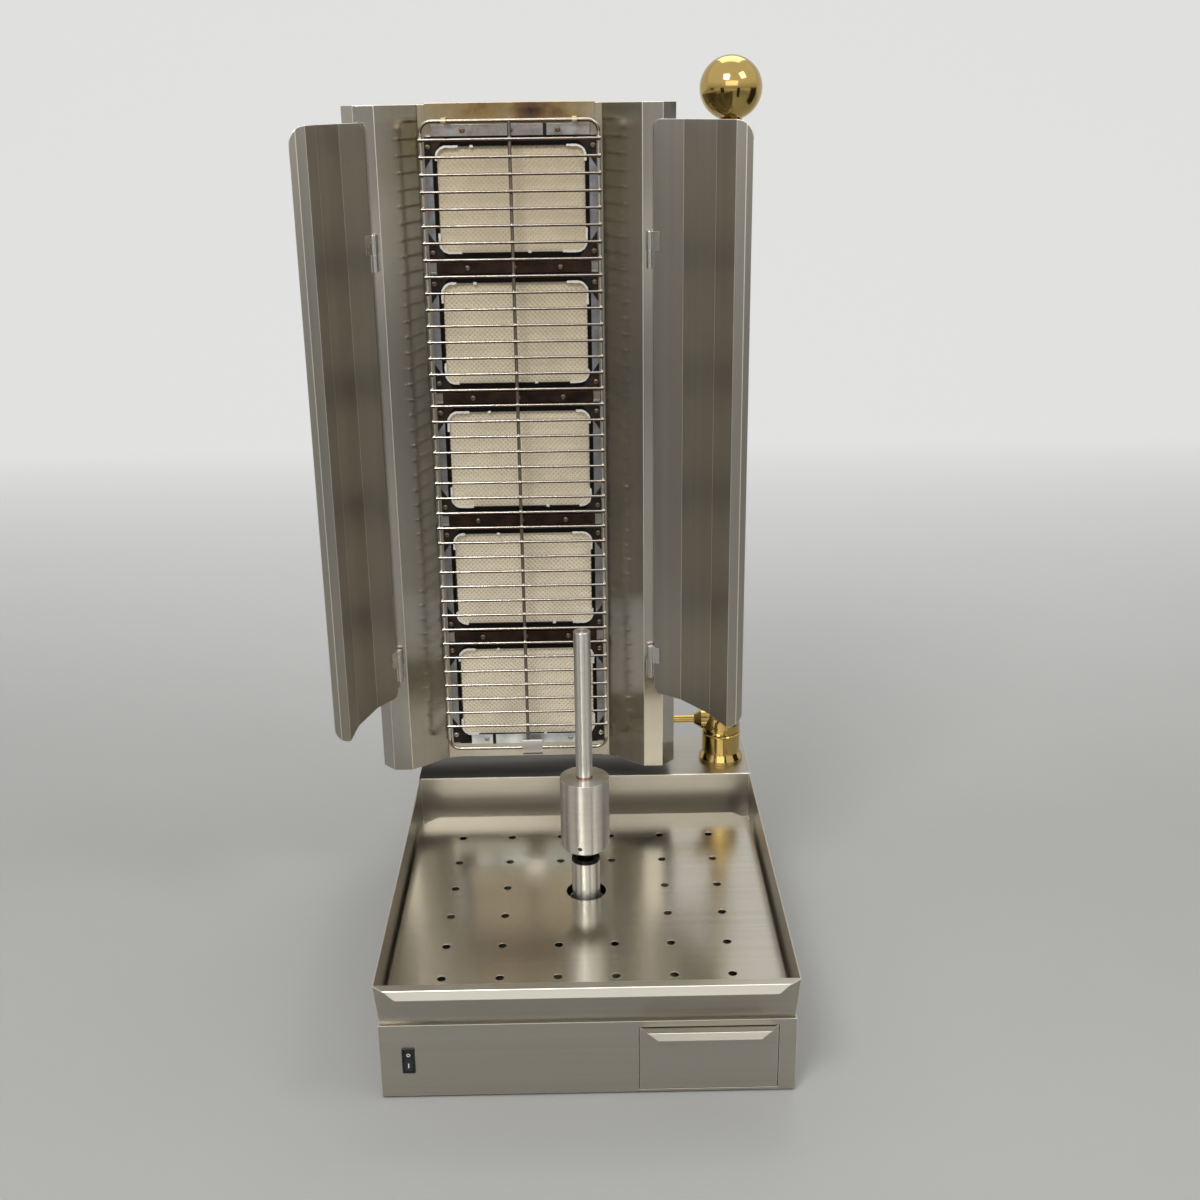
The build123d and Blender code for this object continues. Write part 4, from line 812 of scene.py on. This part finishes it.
def screw_template(radius, height):
    """Pan head with a cross recess, standing on its base along +Z."""
    def circle(share, rise):
        return [
            (radius * share * cos(pi * index / 8), radius * share * sin(pi * index / 8), height * rise)
            for index in range(16)
        ]

    def cross(reach, width, rise):
        quarter = [(reach, 0.0), (reach, width), (width, width), (width, reach)]
        points = []
        for turn in range(4):
            spin = Matrix.Rotation(turn * pi / 2, 2)
            points += [spin @ Vector(point) * radius for point in quarter]
        return [(point.x, point.y, height * rise) for point in points]

    rings = [
        circle(1.0, 0.0),
        circle(1.0, 0.45),
        circle(0.86, 0.8),
        circle(0.66, 0.98),
        cross(0.56, 0.14, 1.0),
        cross(0.45, 0.10, 0.45),
    ]
    return template_object("screw_template", rings, (0.0, 0.0, height * 0.4))


def bead_template(radius):
    """Flattened weld bead with an uneven rim."""
    uneven = random.Random(7)
    rings = []
    for share, rise in ((1.0, -0.3), (0.95, 0.15), (0.7, 0.5), (0.35, 0.66)):
        rings.append([
            (
                radius * share * cos(pi * index / 5) * uneven.uniform(0.9, 1.1),
                radius * share * sin(pi * index / 5) * uneven.uniform(0.9, 1.1),
                radius * rise,
            )
            for index in range(10)
        ])
    return template_object("bead_template", rings, (0.0, 0.0, radius * 0.7))


def copies(name, template, points, turns, material):
    """Realised copies of a template on points, as one piece."""
    values = {"Template": template, "Finish": material}
    mesh = run_tree(name, bpy.data.node_groups["Copies on points"], points_mesh(name, points, turns), values)
    bpy.data.objects.remove(template)
    return new_piece(name, mesh, material)


def window_run(start, length, step=0.0015):
    """Points and inward directions along a window's rounded edge, by run from the middle of its top."""
    half_width, half_height = WINDOW_HALF
    straight = [2 * (half_width - WINDOW_CORNER), 2 * (half_height - WINDOW_CORNER)] * 2
    bend = WINDOW_CORNER * pi / 2
    total = sum(straight) + 4 * bend
    path = []
    count = max(2, int(length / step))
    for index in range(count + 1):
        run = (start + length * index / count + straight[0] / 2) % total
        side = 0
        while run > straight[side] + bend:
            run -= straight[side] + bend
            side += 1
        spin = Matrix.Rotation(-side * pi / 2, 2)
        reach = (half_width, half_height) if side % 2 == 0 else (half_height, half_width)
        if run <= straight[side]:
            point = Vector((run - reach[0] + WINDOW_CORNER, reach[1]))
            inward = Vector((0.0, -1.0))
        else:
            angle = pi / 2 - (run - straight[side]) / WINDOW_CORNER
            outward = Vector((cos(angle), sin(angle)))
            point = Vector((reach[0] - WINDOW_CORNER, reach[1] - WINDOW_CORNER)) + outward * WINDOW_CORNER
            inward = -outward
        path.append((spin @ point, spin @ inward))
    return path


class GRILL_OT_groups(Operator):
    """Build the shader groups and Geometry Nodes trees that the pieces share"""

    bl_idname = "grill.groups"
    bl_label = "Shared groups"

    def execute(self, context):
        make_brush_group()
        make_marks_group()
        make_heat_group()
        make_copies_tree()
        make_plaque_tree()
        return {"FINISHED"}


class GRILL_OT_sheets(Operator):
    """Break the edges of the folded sheets and brush them"""

    bl_idname = "grill.sheets"
    bl_label = "Folded sheets"

    def execute(self, context):
        steel = context.scene.grill_steel
        colour, depth = steel.sheet_colour, steel.grain_depth

        def sheet(name, share, roughness, grain, **more):
            return brushed_steel(name, shade(colour, share), roughness, grain, depth, **more)

        # Painted shade: the tower's underside is near-black steel, so that the deck beneath it reflects
        # shadow
        underside_painted_shade = brushed_steel("Underside steel with painted shade", (0.07, 0.062, 0.056), 0.45, LEVEL_GRAIN, depth)
        level = sheet("Level brushed steel", 1.0, 0.3, LEVEL_GRAIN, stretch=0.5, turn=0.25)
        deck = sheet("Deck steel with painted shade", 1.0, 0.3, LEVEL_GRAIN, stretch=0.5, turn=0.25)
        # Painted shade: the upright sheets are a darker copy of the same brushed steel
        upright = sheet("Upright brushed steel with painted shade", 0.84, 0.36, UPRIGHT_GRAIN, stretch=0.5)
        warm = sheet("Warmed steel", 1.0, 0.13, UPRIGHT_GRAIN, heat=(0.8, 1.12, 0.9, 0.18), stretch=0.95)
        baked = sheet("Baked steel", 1.0, 0.3, UPRIGHT_GRAIN, heat=(1.0, 1.08, 1.0), stretch=0.6)
        scoured = sheet("Scoured steel", 1.35, 0.15, LEVEL_GRAIN, marks=5.0)
        # Painted highlight: a far lighter copy of the sheet steel for the bevelled edges, so that they read
        # as catching the light
        painted_edge_highlight = sheet("Painted edge highlight steel", 1.85, 0.3, LEVEL_GRAIN, marks=40.0)
        self.paint_shade_under_tower(deck)
        for material, rim, nodes in (
            (level, painted_edge_highlight, ("base_cabinet", "drip_tray", "drawer_front", "drawer_pan")),
            (deck, painted_edge_highlight, ("rear_deck",)),
            (upright, painted_edge_highlight, ("left_shield", "right_shield", "rear_cover")),
            (underside_painted_shade, None, ("bottom_cap",)),
            (warm, painted_edge_highlight, ("left_reflector", "right_reflector")),
            (baked, None, ("burner_panel", "top_cap")),
            (scoured, None, ("perforated_insert",)),
        ):
            for node in nodes:
                dress(node, material, "stainless_sheet", steel.edge_break, rim)
        return {"FINISHED"}

    def paint_shade_under_tower(self, deck):
        """Painted shade: blacken the top of the deck under the tower, where the tower's shadow falls."""
        tree, spot = deck.node_tree, own_parts(deck)
        under = times(
            tree,
            spread(tree, spot["X"], 0.14, 0.06),
            band(tree, spot["Y"], 0.17, 0.2, 0.27, 0.31),
            spread(tree, spot["Z"], 0.165, 0.168, 0.0, 0.8),
        )
        # Near-black painted shade on the deck under the tower
        stain_or_painted_shade(deck, under, (0.05, 0.045, 0.04))


class GRILL_OT_brasswork(Operator):
    """Polish the post, head, arm, ball and gas inlet"""

    bl_idname = "grill.brasswork"
    bl_label = "Brasswork"

    def execute(self, context):
        brass = polished_brass(context.scene.grill_brass)
        for node in ("post_base", "swivel_head", "swivel_post", "gas_arm", "ball_finial", "gas_inlet"):
            dress(node, brass, "polished_brass", FINE_EDGE)
        for node in ("gas_pipe", "gas_valves"):
            coat(node, brass)
        return {"FINISHED"}


class GRILL_OT_turned(Operator):
    """Turn the spit, its coupling and the drive spindle"""

    bl_idname = "grill.turned"
    bl_label = "Turned steel"

    def execute(self, context):
        turned = brushed_steel(
            "Turned steel", (0.66, 0.64, 0.59), 0.3, TURNED_GRAIN, 0.000004,
            marks=30.0, stretch=0.9, turn=0.25,
        )
        tree, height = turned.node_tree, own_parts(turned)["Z"]
        stain_or_painted_shade(turned, band(tree, height, *RUST_RING), (0.36, 0.19, 0.13))
        # Painted shade: a near-black band at the neck below the coupling, where the gap is in shadow
        stain_or_painted_shade(turned, band(tree, height, *NECK_PAINTED_SHADE), (0.018, 0.016, 0.014))
        for node in ("spit_coupling", "spit_rod", "drive_pin", "drive_spindle"):
            dress(node, turned, "turned_steel", context.scene.grill_steel.edge_break)
        coat("spindle_bush", turned)
        return {"FINISHED"}


class GRILL_OT_plaques(Operator):
    """Press the ceramic plaques with their relief"""

    bl_idname = "grill.plaques"
    bl_label = "Ceramic plaques"

    def execute(self, context):
        burners = context.scene.grill_burners
        ceramic = plaque_ceramic(burners)
        tree = bpy.data.node_groups["Relief plaque"]
        values = {
            "Width": PLAQUE_SIZE[0] - burners.joint_gap,
            "Thickness": PLAQUE_SIZE[1] - 2 * burners.relief_depth,
            "Height": PLAQUE_SIZE[2],
            "Relief Pitch": burners.relief_pitch,
            "Relief Depth": burners.relief_depth,
            "Columns": burners.relief_columns,
            "Rows": burners.relief_rows,
            "Finish": ceramic,
        }
        middles = [tower_middle.x + side * PLAQUE_SIZE[0] / 2 for side in (-1, 1)]
        for number, level in enumerate(burner_levels(), start=1):
            points = points_mesh("plaque_points", [(x, plaque_face, level) for x in middles])
            mesh = run_tree(f"plaques_{number}", tree, points, values)
            settle(new_piece(f"plaques_{number}", mesh, ceramic), "tower", "ceramic", "ceramic_plaques")
        return {"FINISHED"}


class GRILL_OT_gaskets(Operator):
    """Lay the white fibre that shows round the plaques"""

    bl_idname = "grill.gaskets"
    bl_label = "Fibre gaskets"

    def execute(self, context):
        width = context.scene.grill_burners.gasket_width
        loose = random.Random(11)
        corner = WINDOW_CORNER * pi / 2
        top = WINDOW_HALF[0] - WINDOW_CORNER
        side = 2 * (WINDOW_HALF[1] - WINDOW_CORNER)
        corners = (top, top + corner + side, 3 * top + 2 * corner + side, 3 * top + 3 * corner + 2 * side)
        work = bmesh.new()
        for level in burner_levels():
            bits = []
            for run in corners:
                before, after = loose.uniform(0.002, 0.018), loose.uniform(0.002, 0.018)
                bits.append((run - before, before + corner + after))
            bits.append((loose.uniform(-0.06, -0.03), 0.004))
            bits.append((2 * top + 2 * corner + side + loose.uniform(-0.05, -0.02), 0.004))
            for start, length in bits:
                rows = []
                for point, inward in window_run(start, length):
                    outer = point - inward * width * loose.uniform(0.35, 0.6)
                    inner = point + inward * width * loose.uniform(0.4, 0.8)
                    rows.append([
                        work.verts.new((tower_middle.x + spot.x, plaque_face - rise, level + spot.y))
                        for spot, rise in ((outer, 0.0), (outer, 0.0044), (inner, 0.0049), (inner, 0.0))
                    ])
                for first, second in zip(rows, rows[1:]):
                    for index in range(3):
                        work.faces.new((first[index], second[index], second[index + 1], first[index + 1]))
                work.faces.new(rows[0])
                work.faces.new(rows[-1][::-1])
        mesh = finished_mesh(work, "plaque_gaskets", 60.0)
        settle(new_piece("plaque_gaskets", mesh, white_fibre()), "tower", "ceramic")
        return {"FINISHED"}


class GRILL_OT_burner_iron(Operator):
    """Blacken the gussets, blue the frames and burn the straps"""

    bl_idname = "grill.burner_iron"
    bl_label = "Burner ironwork"

    def execute(self, context):
        iron = burnt_iron(context.scene.grill_burners.iron_colour)
        frames = dress("burner_frames", frame_steel(), "cast_burner", FINE_EDGE)
        frames.data.materials.append(iron)
        gusset_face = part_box("burner_frames")[0].y + 0.0011
        for face in frames.data.polygons:
            if face.center.y < gusset_face:
                face.material_index = 1
        dress("cross_straps", strap_steel(), "stainless_sheet", FINE_EDGE)
        low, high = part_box("cross_straps")
        work = bmesh.new()
        for offset, foot in ((0.0436, high.z - SLEEVE_HEIGHT), (-0.0495, low.z)):
            x, head = tower_middle.x + offset, foot + SLEEVE_HEIGHT
            path = [
                (low.y + 0.001, foot - 0.0004),
                (low.y - 0.0006, foot),
                (low.y - 0.0006, head),
                (low.y + 0.001, head + 0.0004),
            ]
            bent_strip(work, path, x - SLEEVE_HALF, x + SLEEVE_HALF, SLEEVE_SHEET)
        mesh = finished_mesh(work, "strap_sleeves")
        settle(new_piece("strap_sleeves", mesh, iron), "tower", "cast_burner")
        for number in range(1, BURNER_COUNT + 1):
            coat(f"burner_{number}", iron)
        return {"FINISHED"}


class GRILL_OT_screws(Operator):
    """Set cross-head screws on the straps, gussets and rear cover"""

    bl_idname = "grill.screws"
    bl_label = "Tower screws"

    def execute(self, context):
        points, turns = [], []
        spin = random.Random(5)
        boxes = islands("tower_screws")
        for low, high in boxes:
            middle = (low + high) / 2
            forward = middle.y < plaque_face
            points.append((middle.x, high.y if forward else low.y, middle.z))
            turns.append((pi / 2 if forward else -pi / 2, spin.uniform(0.0, pi / 2), 0.0))
        low, high = boxes[0]
        template = screw_template((high.x - low.x) / 2, high.y - low.y)
        piece = copies("tower_screw_heads", template, points, turns, screw_steel())
        settle(piece, "tower", "plain_steel", "tower_screws")
        return {"FINISHED"}


class GRILL_OT_grille(Operator):
    """Draw the grille's wire, its weld beads, its hooks and its clip"""

    bl_idname = "grill.grille"
    bl_label = "Wire grille"

    def execute(self, context):
        steel = context.scene.grill_steel
        wire = flame_wire(steel.wire_colour)
        dress("grille", wire, "wire_steel")
        low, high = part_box("grille")
        foot, head = low.z + WIRE_RADIUS + RUNG_FOOT, high.z - WIRE_RADIUS - RUNG_HEAD
        points = []
        for index in range(RUNG_COUNT):
            level = foot + (head - foot) * index / (RUNG_COUNT - 1)
            points += [
                (x, low.y + 0.0028, level) for x in (low.x + 0.0025, tower_middle.x, high.x - 0.0025)
            ]
        turns = [(pi / 2, 0.0, 0.0)] * len(points)
        beads = copies("grille_welds", bead_template(steel.weld_radius), points, turns, wire)
        settle(beads, "tower", "wire_steel")
        clip = brushed_steel(
            "Clip steel", (0.52, 0.50, 0.47), 0.4, LEVEL_GRAIN, 0.00003, heat=(0.9, 1.07, 0.7), marks=30.0
        )
        work = bmesh.new()
        for low, high in islands("grille_clips"):
            path = self.hook(low, high) if low.z > tower_middle.z else self.clip(low, high)
            bent_strip(work, path, low.x, high.x, HOOK_SHEET)
        mesh = finished_mesh(work, "grille_hooks")
        settle(new_piece("grille_hooks", mesh, clip), "tower", "plain_steel", "grille_clips")
        return {"FINISHED"}

    def hook(self, low, high):
        """Path of a top hook, round the frame wire."""
        wire_z = high.z - 0.0037
        path = [(high.y, wire_z + 0.0035), (FRAME_WIRE_Y + 0.004, wire_z + 0.0038)]
        for step in range(9):
            angle = radians(70 + 22 * step)
            path.append((FRAME_WIRE_Y + HOOK_BEND * cos(angle), wire_z + HOOK_BEND * sin(angle)))
        return path

    def clip(self, low, high):
        """Path of the bottom clip, out, up and over the frame wire."""
        return [
            (high.y - 0.001, low.z + 0.004),
            (low.y + 0.005, low.z + 0.0008),
            (low.y + 0.0008, low.z + 0.0055),
            (low.y + 0.0008, high.z - 0.0012),
            (low.y + 0.0016, high.z),
            (low.y + 0.0034, high.z + 0.0002),
        ]


class GRILL_OT_hinges(Operator):
    """Dress the hinge pins, knuckles and the brackets on the post"""

    bl_idname = "grill.hinges"
    bl_label = "Hinges and brackets"

    def execute(self, context):
        steel = brushed_steel("Hinge steel", (0.60, 0.58, 0.55), 0.22, UPRIGHT_GRAIN, 0.00003, marks=40.0)
        for node in ("hinge_pins", "left_knuckles", "right_knuckles", "post_brackets"):
            dress(node, steel, "plain_steel", FINE_EDGE)
        return {"FINISHED"}


class GRILL_OT_switch(Operator):
    """Mould the rocker switch, the cable gland and the knobs, and print the rocker's marks"""

    bl_idname = "grill.switch"
    bl_label = "Rocker switch"

    def execute(self, context):
        plastic = black_plastic()
        for node in ("switch_bezel", "switch_rocker", "cable_gland"):
            dress(node, plastic, "black_plastic", FINE_EDGE)
        for number in range(1, BURNER_COUNT + 1):
            dress(f"gas_knob_{number}", plastic, "black_plastic", KNOB_EDGE)
        marks = bmesh.new()
        work = merged_mesh("switch_rocker")
        faces = sorted((f for f in work.faces if f.normal.y < -0.9), key=lambda f: -f.calc_area())[:2]
        faces.sort(key=lambda f: -f.calc_center_median().z)
        for face, outline in zip(faces, (ROUND_MARK, BAR_MARK)):
            middle = face.calc_center_median() + face.normal * 0.0001
            rise = Vector((1.0, 0.0, 0.0)).cross(-face.normal).normalized()
            outer, inner = (
                [marks.verts.new(middle + Vector((x, 0.0, 0.0)) + rise * y) for x, y in ring]
                for ring in outline
            )
            for index in range(len(outer)):
                after = (index + 1) % len(outer)
                marks.faces.new((outer[index], outer[after], inner[after], inner[index]))
        work.free()
        mesh = finished_mesh(marks, "rocker_marks")
        settle(new_piece("rocker_marks", mesh, white_print()), "rocker", "black_plastic")
        return {"FINISHED"}


class GRILL_OT_inside(Operator):
    """Finish the pieces inside the cabinet, drawer space and tower"""

    bl_idname = "grill.inside"
    bl_label = "Inner pieces"

    def execute(self, context):
        plate = brushed_steel("Plated steel", (0.50, 0.50, 0.50), 0.36, LEVEL_GRAIN, 0.00003, marks=14.0)
        for node in ("bottom_plate", "plate_screws", "drawer_runners", "drawer_guides", "motor_bracket",
                     "motor_screws", "gas_manifold", "post_nut"):
            coat(node, plate)
        paint = machine_paint()
        for node in ("gearbox", "drive_motor"):
            coat(node, paint)
        return {"FINISHED"}


class GRILL_OT_stage(Operator):
    """Set the pale floor and backdrop, the soft lamps and the camera"""

    bl_idname = "grill.stage"
    bl_label = "Stage"

    def execute(self, context):
        scene = context.scene
        settings = scene.grill_stage
        scene.view_settings.view_transform = "Standard"
        self.sweep(settings)
        self.surround(scene, settings)
        for lamp in LAMPS:
            self.lamp(scene, *lamp)
        for card in CARDS:
            self.card(*card)
        data = bpy.data.cameras.new("Camera")
        data.sensor_width = 36.0
        data.lens = settings.lens
        camera = bpy.data.objects.new("Camera", data)
        turn = (
            Matrix.Rotation(settings.camera_turn, 4, "Z")
            @ Matrix.Rotation(pi / 2 - settings.camera_fall, 4, "X")
            @ Matrix.Rotation(settings.camera_roll, 4, "Z")
        )
        camera.matrix_world = Matrix.Translation(settings.camera_place) @ turn
        scene.collection.objects.link(camera)
        scene.camera = camera
        return {"FINISHED"}

    def sweep(self, settings):
        """Floor that curves up into a backdrop, paler away from the grill."""
        bend = [pi * step / 24 for step in range(13)]
        profile = [(SWEEP_FRONT, 0.0)]
        profile += [(SWEEP_BACK + SWEEP_BEND * sin(a), SWEEP_BEND - SWEEP_BEND * cos(a)) for a in bend]
        profile.append((SWEEP_BACK + SWEEP_BEND, SWEEP_TOP))
        verts = [(x, y, z) for y, z in profile for x in (-SWEEP_HALF, SWEEP_HALF)]
        faces = [(2 * i, 2 * i + 1, 2 * i + 3, 2 * i + 2) for i in range(len(profile) - 1)]
        mesh = bpy.data.meshes.new("floor_sweep")
        mesh.from_pydata(verts, [], faces)
        mesh.shade_smooth()
        material, tree, here = new_material("Pale floor", Roughness=0.9)
        colour = settings.floor_colour
        tone = blend(tree, noise(tree, here, 3.0, 4.0), shade(colour, 0.97), shade(colour, 1.03))
        spot = parts_of(tree, here)
        away = maths(tree, "MAXIMUM", spread(tree, spot["Y"], 0.3, 3.0), spread(tree, spot["Y"], -3.0, -8.0))
        aside = spread(tree, maths(tree, "ABSOLUTE", spot["X"]), 3.0, 8.0)
        away = maths(tree, "MAXIMUM", away, aside)
        pale = blend(tree, away, tone, FAR_COLOUR)
        shader = tree.nodes["Principled BSDF"]
        tree.links.new(pale, shader.inputs["Base Color"])
        glow = add_node(tree, "ShaderNodeEmission", {"Color": pale, "Strength": 1.0})
        mix = add_node(tree, "ShaderNodeMixShader", {
            0: times(tree, seeing_rays(tree), away, 0.9),
            1: shader.outputs["BSDF"],
            2: glow.outputs["Emission"],
        })
        tree.links.new(mix.outputs["Shader"], tree.nodes["Material Output"].inputs["Surface"])
        new_piece("floor_sweep", mesh, material)

    def surround(self, scene, settings):
        """Soft surround, brighter overhead than at the horizon."""
        scene.world = bpy.data.worlds.new("Soft surround")
        scene.world.use_nodes = True
        tree = scene.world.node_tree
        height = parts_of(tree, add_node(tree, "ShaderNodeTexCoord").outputs["Generated"])["Z"]
        sky = ramp(tree, height, [
            (0.0, (0.52, 0.52, 0.52)),
            (1.0, (0.95, 0.95, 0.95)),
            (0.3, (0.95, 0.94, 0.92)),
        ])
        background = tree.nodes["Background"].inputs
        tree.links.new(sky, background["Color"])
        level = spread(tree, seeing_rays(tree), 0.0, 1.0, settings.world_strength, 1.0)
        tree.links.new(level, background["Strength"])

    def card(self, name, spot, turn, width):
        """Sheet of dark felt that stands beside the set and shows only in reflections."""
        across = Vector((cos(radians(turn)), sin(radians(turn)))) * width / 2
        low, high = Vector(spot) - across, Vector(spot) + across
        corners = [(*low, 0.0), (*high, 0.0), (*high, CARD_HEIGHT), (*low, CARD_HEIGHT)]
        mesh = bpy.data.meshes.new(name)
        mesh.from_pydata(corners, [], [(0, 1, 2, 3)])
        material, tree, here = new_material(f"{name} felt", Roughness=1.0)
        nap = blend(tree, noise(tree, here, 40.0, 3.0), shade(CARD_COLOUR, 0.8), shade(CARD_COLOUR, 1.2))
        tree.links.new(nap, tree.nodes["Principled BSDF"].inputs["Base Color"])
        piece = new_piece(name.replace(" ", "_").lower(), mesh, material)
        piece.visible_camera = False
        piece.visible_diffuse = False
        piece.visible_shadow = False

    def lamp(self, scene, name, spot, size, power, width):
        """Soft lamp that looks at the middle of the grill."""
        data = bpy.data.lights.new(name, "AREA")
        data.shape = "RECTANGLE"
        data.size = width
        data.size_y = size
        data.energy = power
        lamp = bpy.data.objects.new(name, data)
        aim = (Vector(LAMP_AIM) - Vector(spot)).to_track_quat("-Z", "Y")
        lamp.matrix_world = Matrix.Translation(spot) @ aim.to_matrix().to_4x4()
        scene.collection.objects.link(lamp)


class GRILL_PT_pieces(Panel):
    """Lists the steps that dress the grill"""

    bl_label = "Doner Grill"
    bl_idname = "GRILL_PT_pieces"
    bl_space_type = "VIEW_3D"
    bl_region_type = "UI"
    bl_category = "Doner Grill"

    def draw(self, context):
        for step in STEPS:
            self.layout.operator(step.bl_idname)


STEPS = (
    GRILL_OT_groups,
    GRILL_OT_sheets,
    GRILL_OT_brasswork,
    GRILL_OT_turned,
    GRILL_OT_plaques,
    GRILL_OT_gaskets,
    GRILL_OT_burner_iron,
    GRILL_OT_screws,
    GRILL_OT_grille,
    GRILL_OT_hinges,
    GRILL_OT_switch,
    GRILL_OT_inside,
    GRILL_OT_stage,
)
SETTINGS = {
    "grill_steel": SteelSettings,
    "grill_brass": BrassSettings,
    "grill_burners": BurnerSettings,
    "grill_stage": StageSettings,
}


def register():
    """Register the classes and the scene's settings."""
    for group in (*SETTINGS.values(), *STEPS, GRILL_PT_pieces):
        bpy.utils.register_class(group)
    for name, group in SETTINGS.items():
        setattr(bpy.types.Scene, name, PointerProperty(type=group))


def unregister():
    """Take the classes and settings out again."""
    for name in SETTINGS:
        delattr(bpy.types.Scene, name)
    for group in (GRILL_PT_pieces, *reversed(STEPS), *SETTINGS.values()):
        bpy.utils.unregister_class(group)


def main():
    """Dress the grill step by step."""
    register()
    bpy.ops.grill.groups()
    bpy.ops.grill.sheets()
    bpy.ops.grill.brasswork()
    bpy.ops.grill.turned()
    bpy.ops.grill.plaques()
    bpy.ops.grill.gaskets()
    bpy.ops.grill.burner_iron()
    bpy.ops.grill.screws()
    bpy.ops.grill.grille()
    bpy.ops.grill.hinges()
    bpy.ops.grill.switch()
    bpy.ops.grill.inside()
    bpy.ops.grill.stage()


if __name__ == "__main__":
    main()
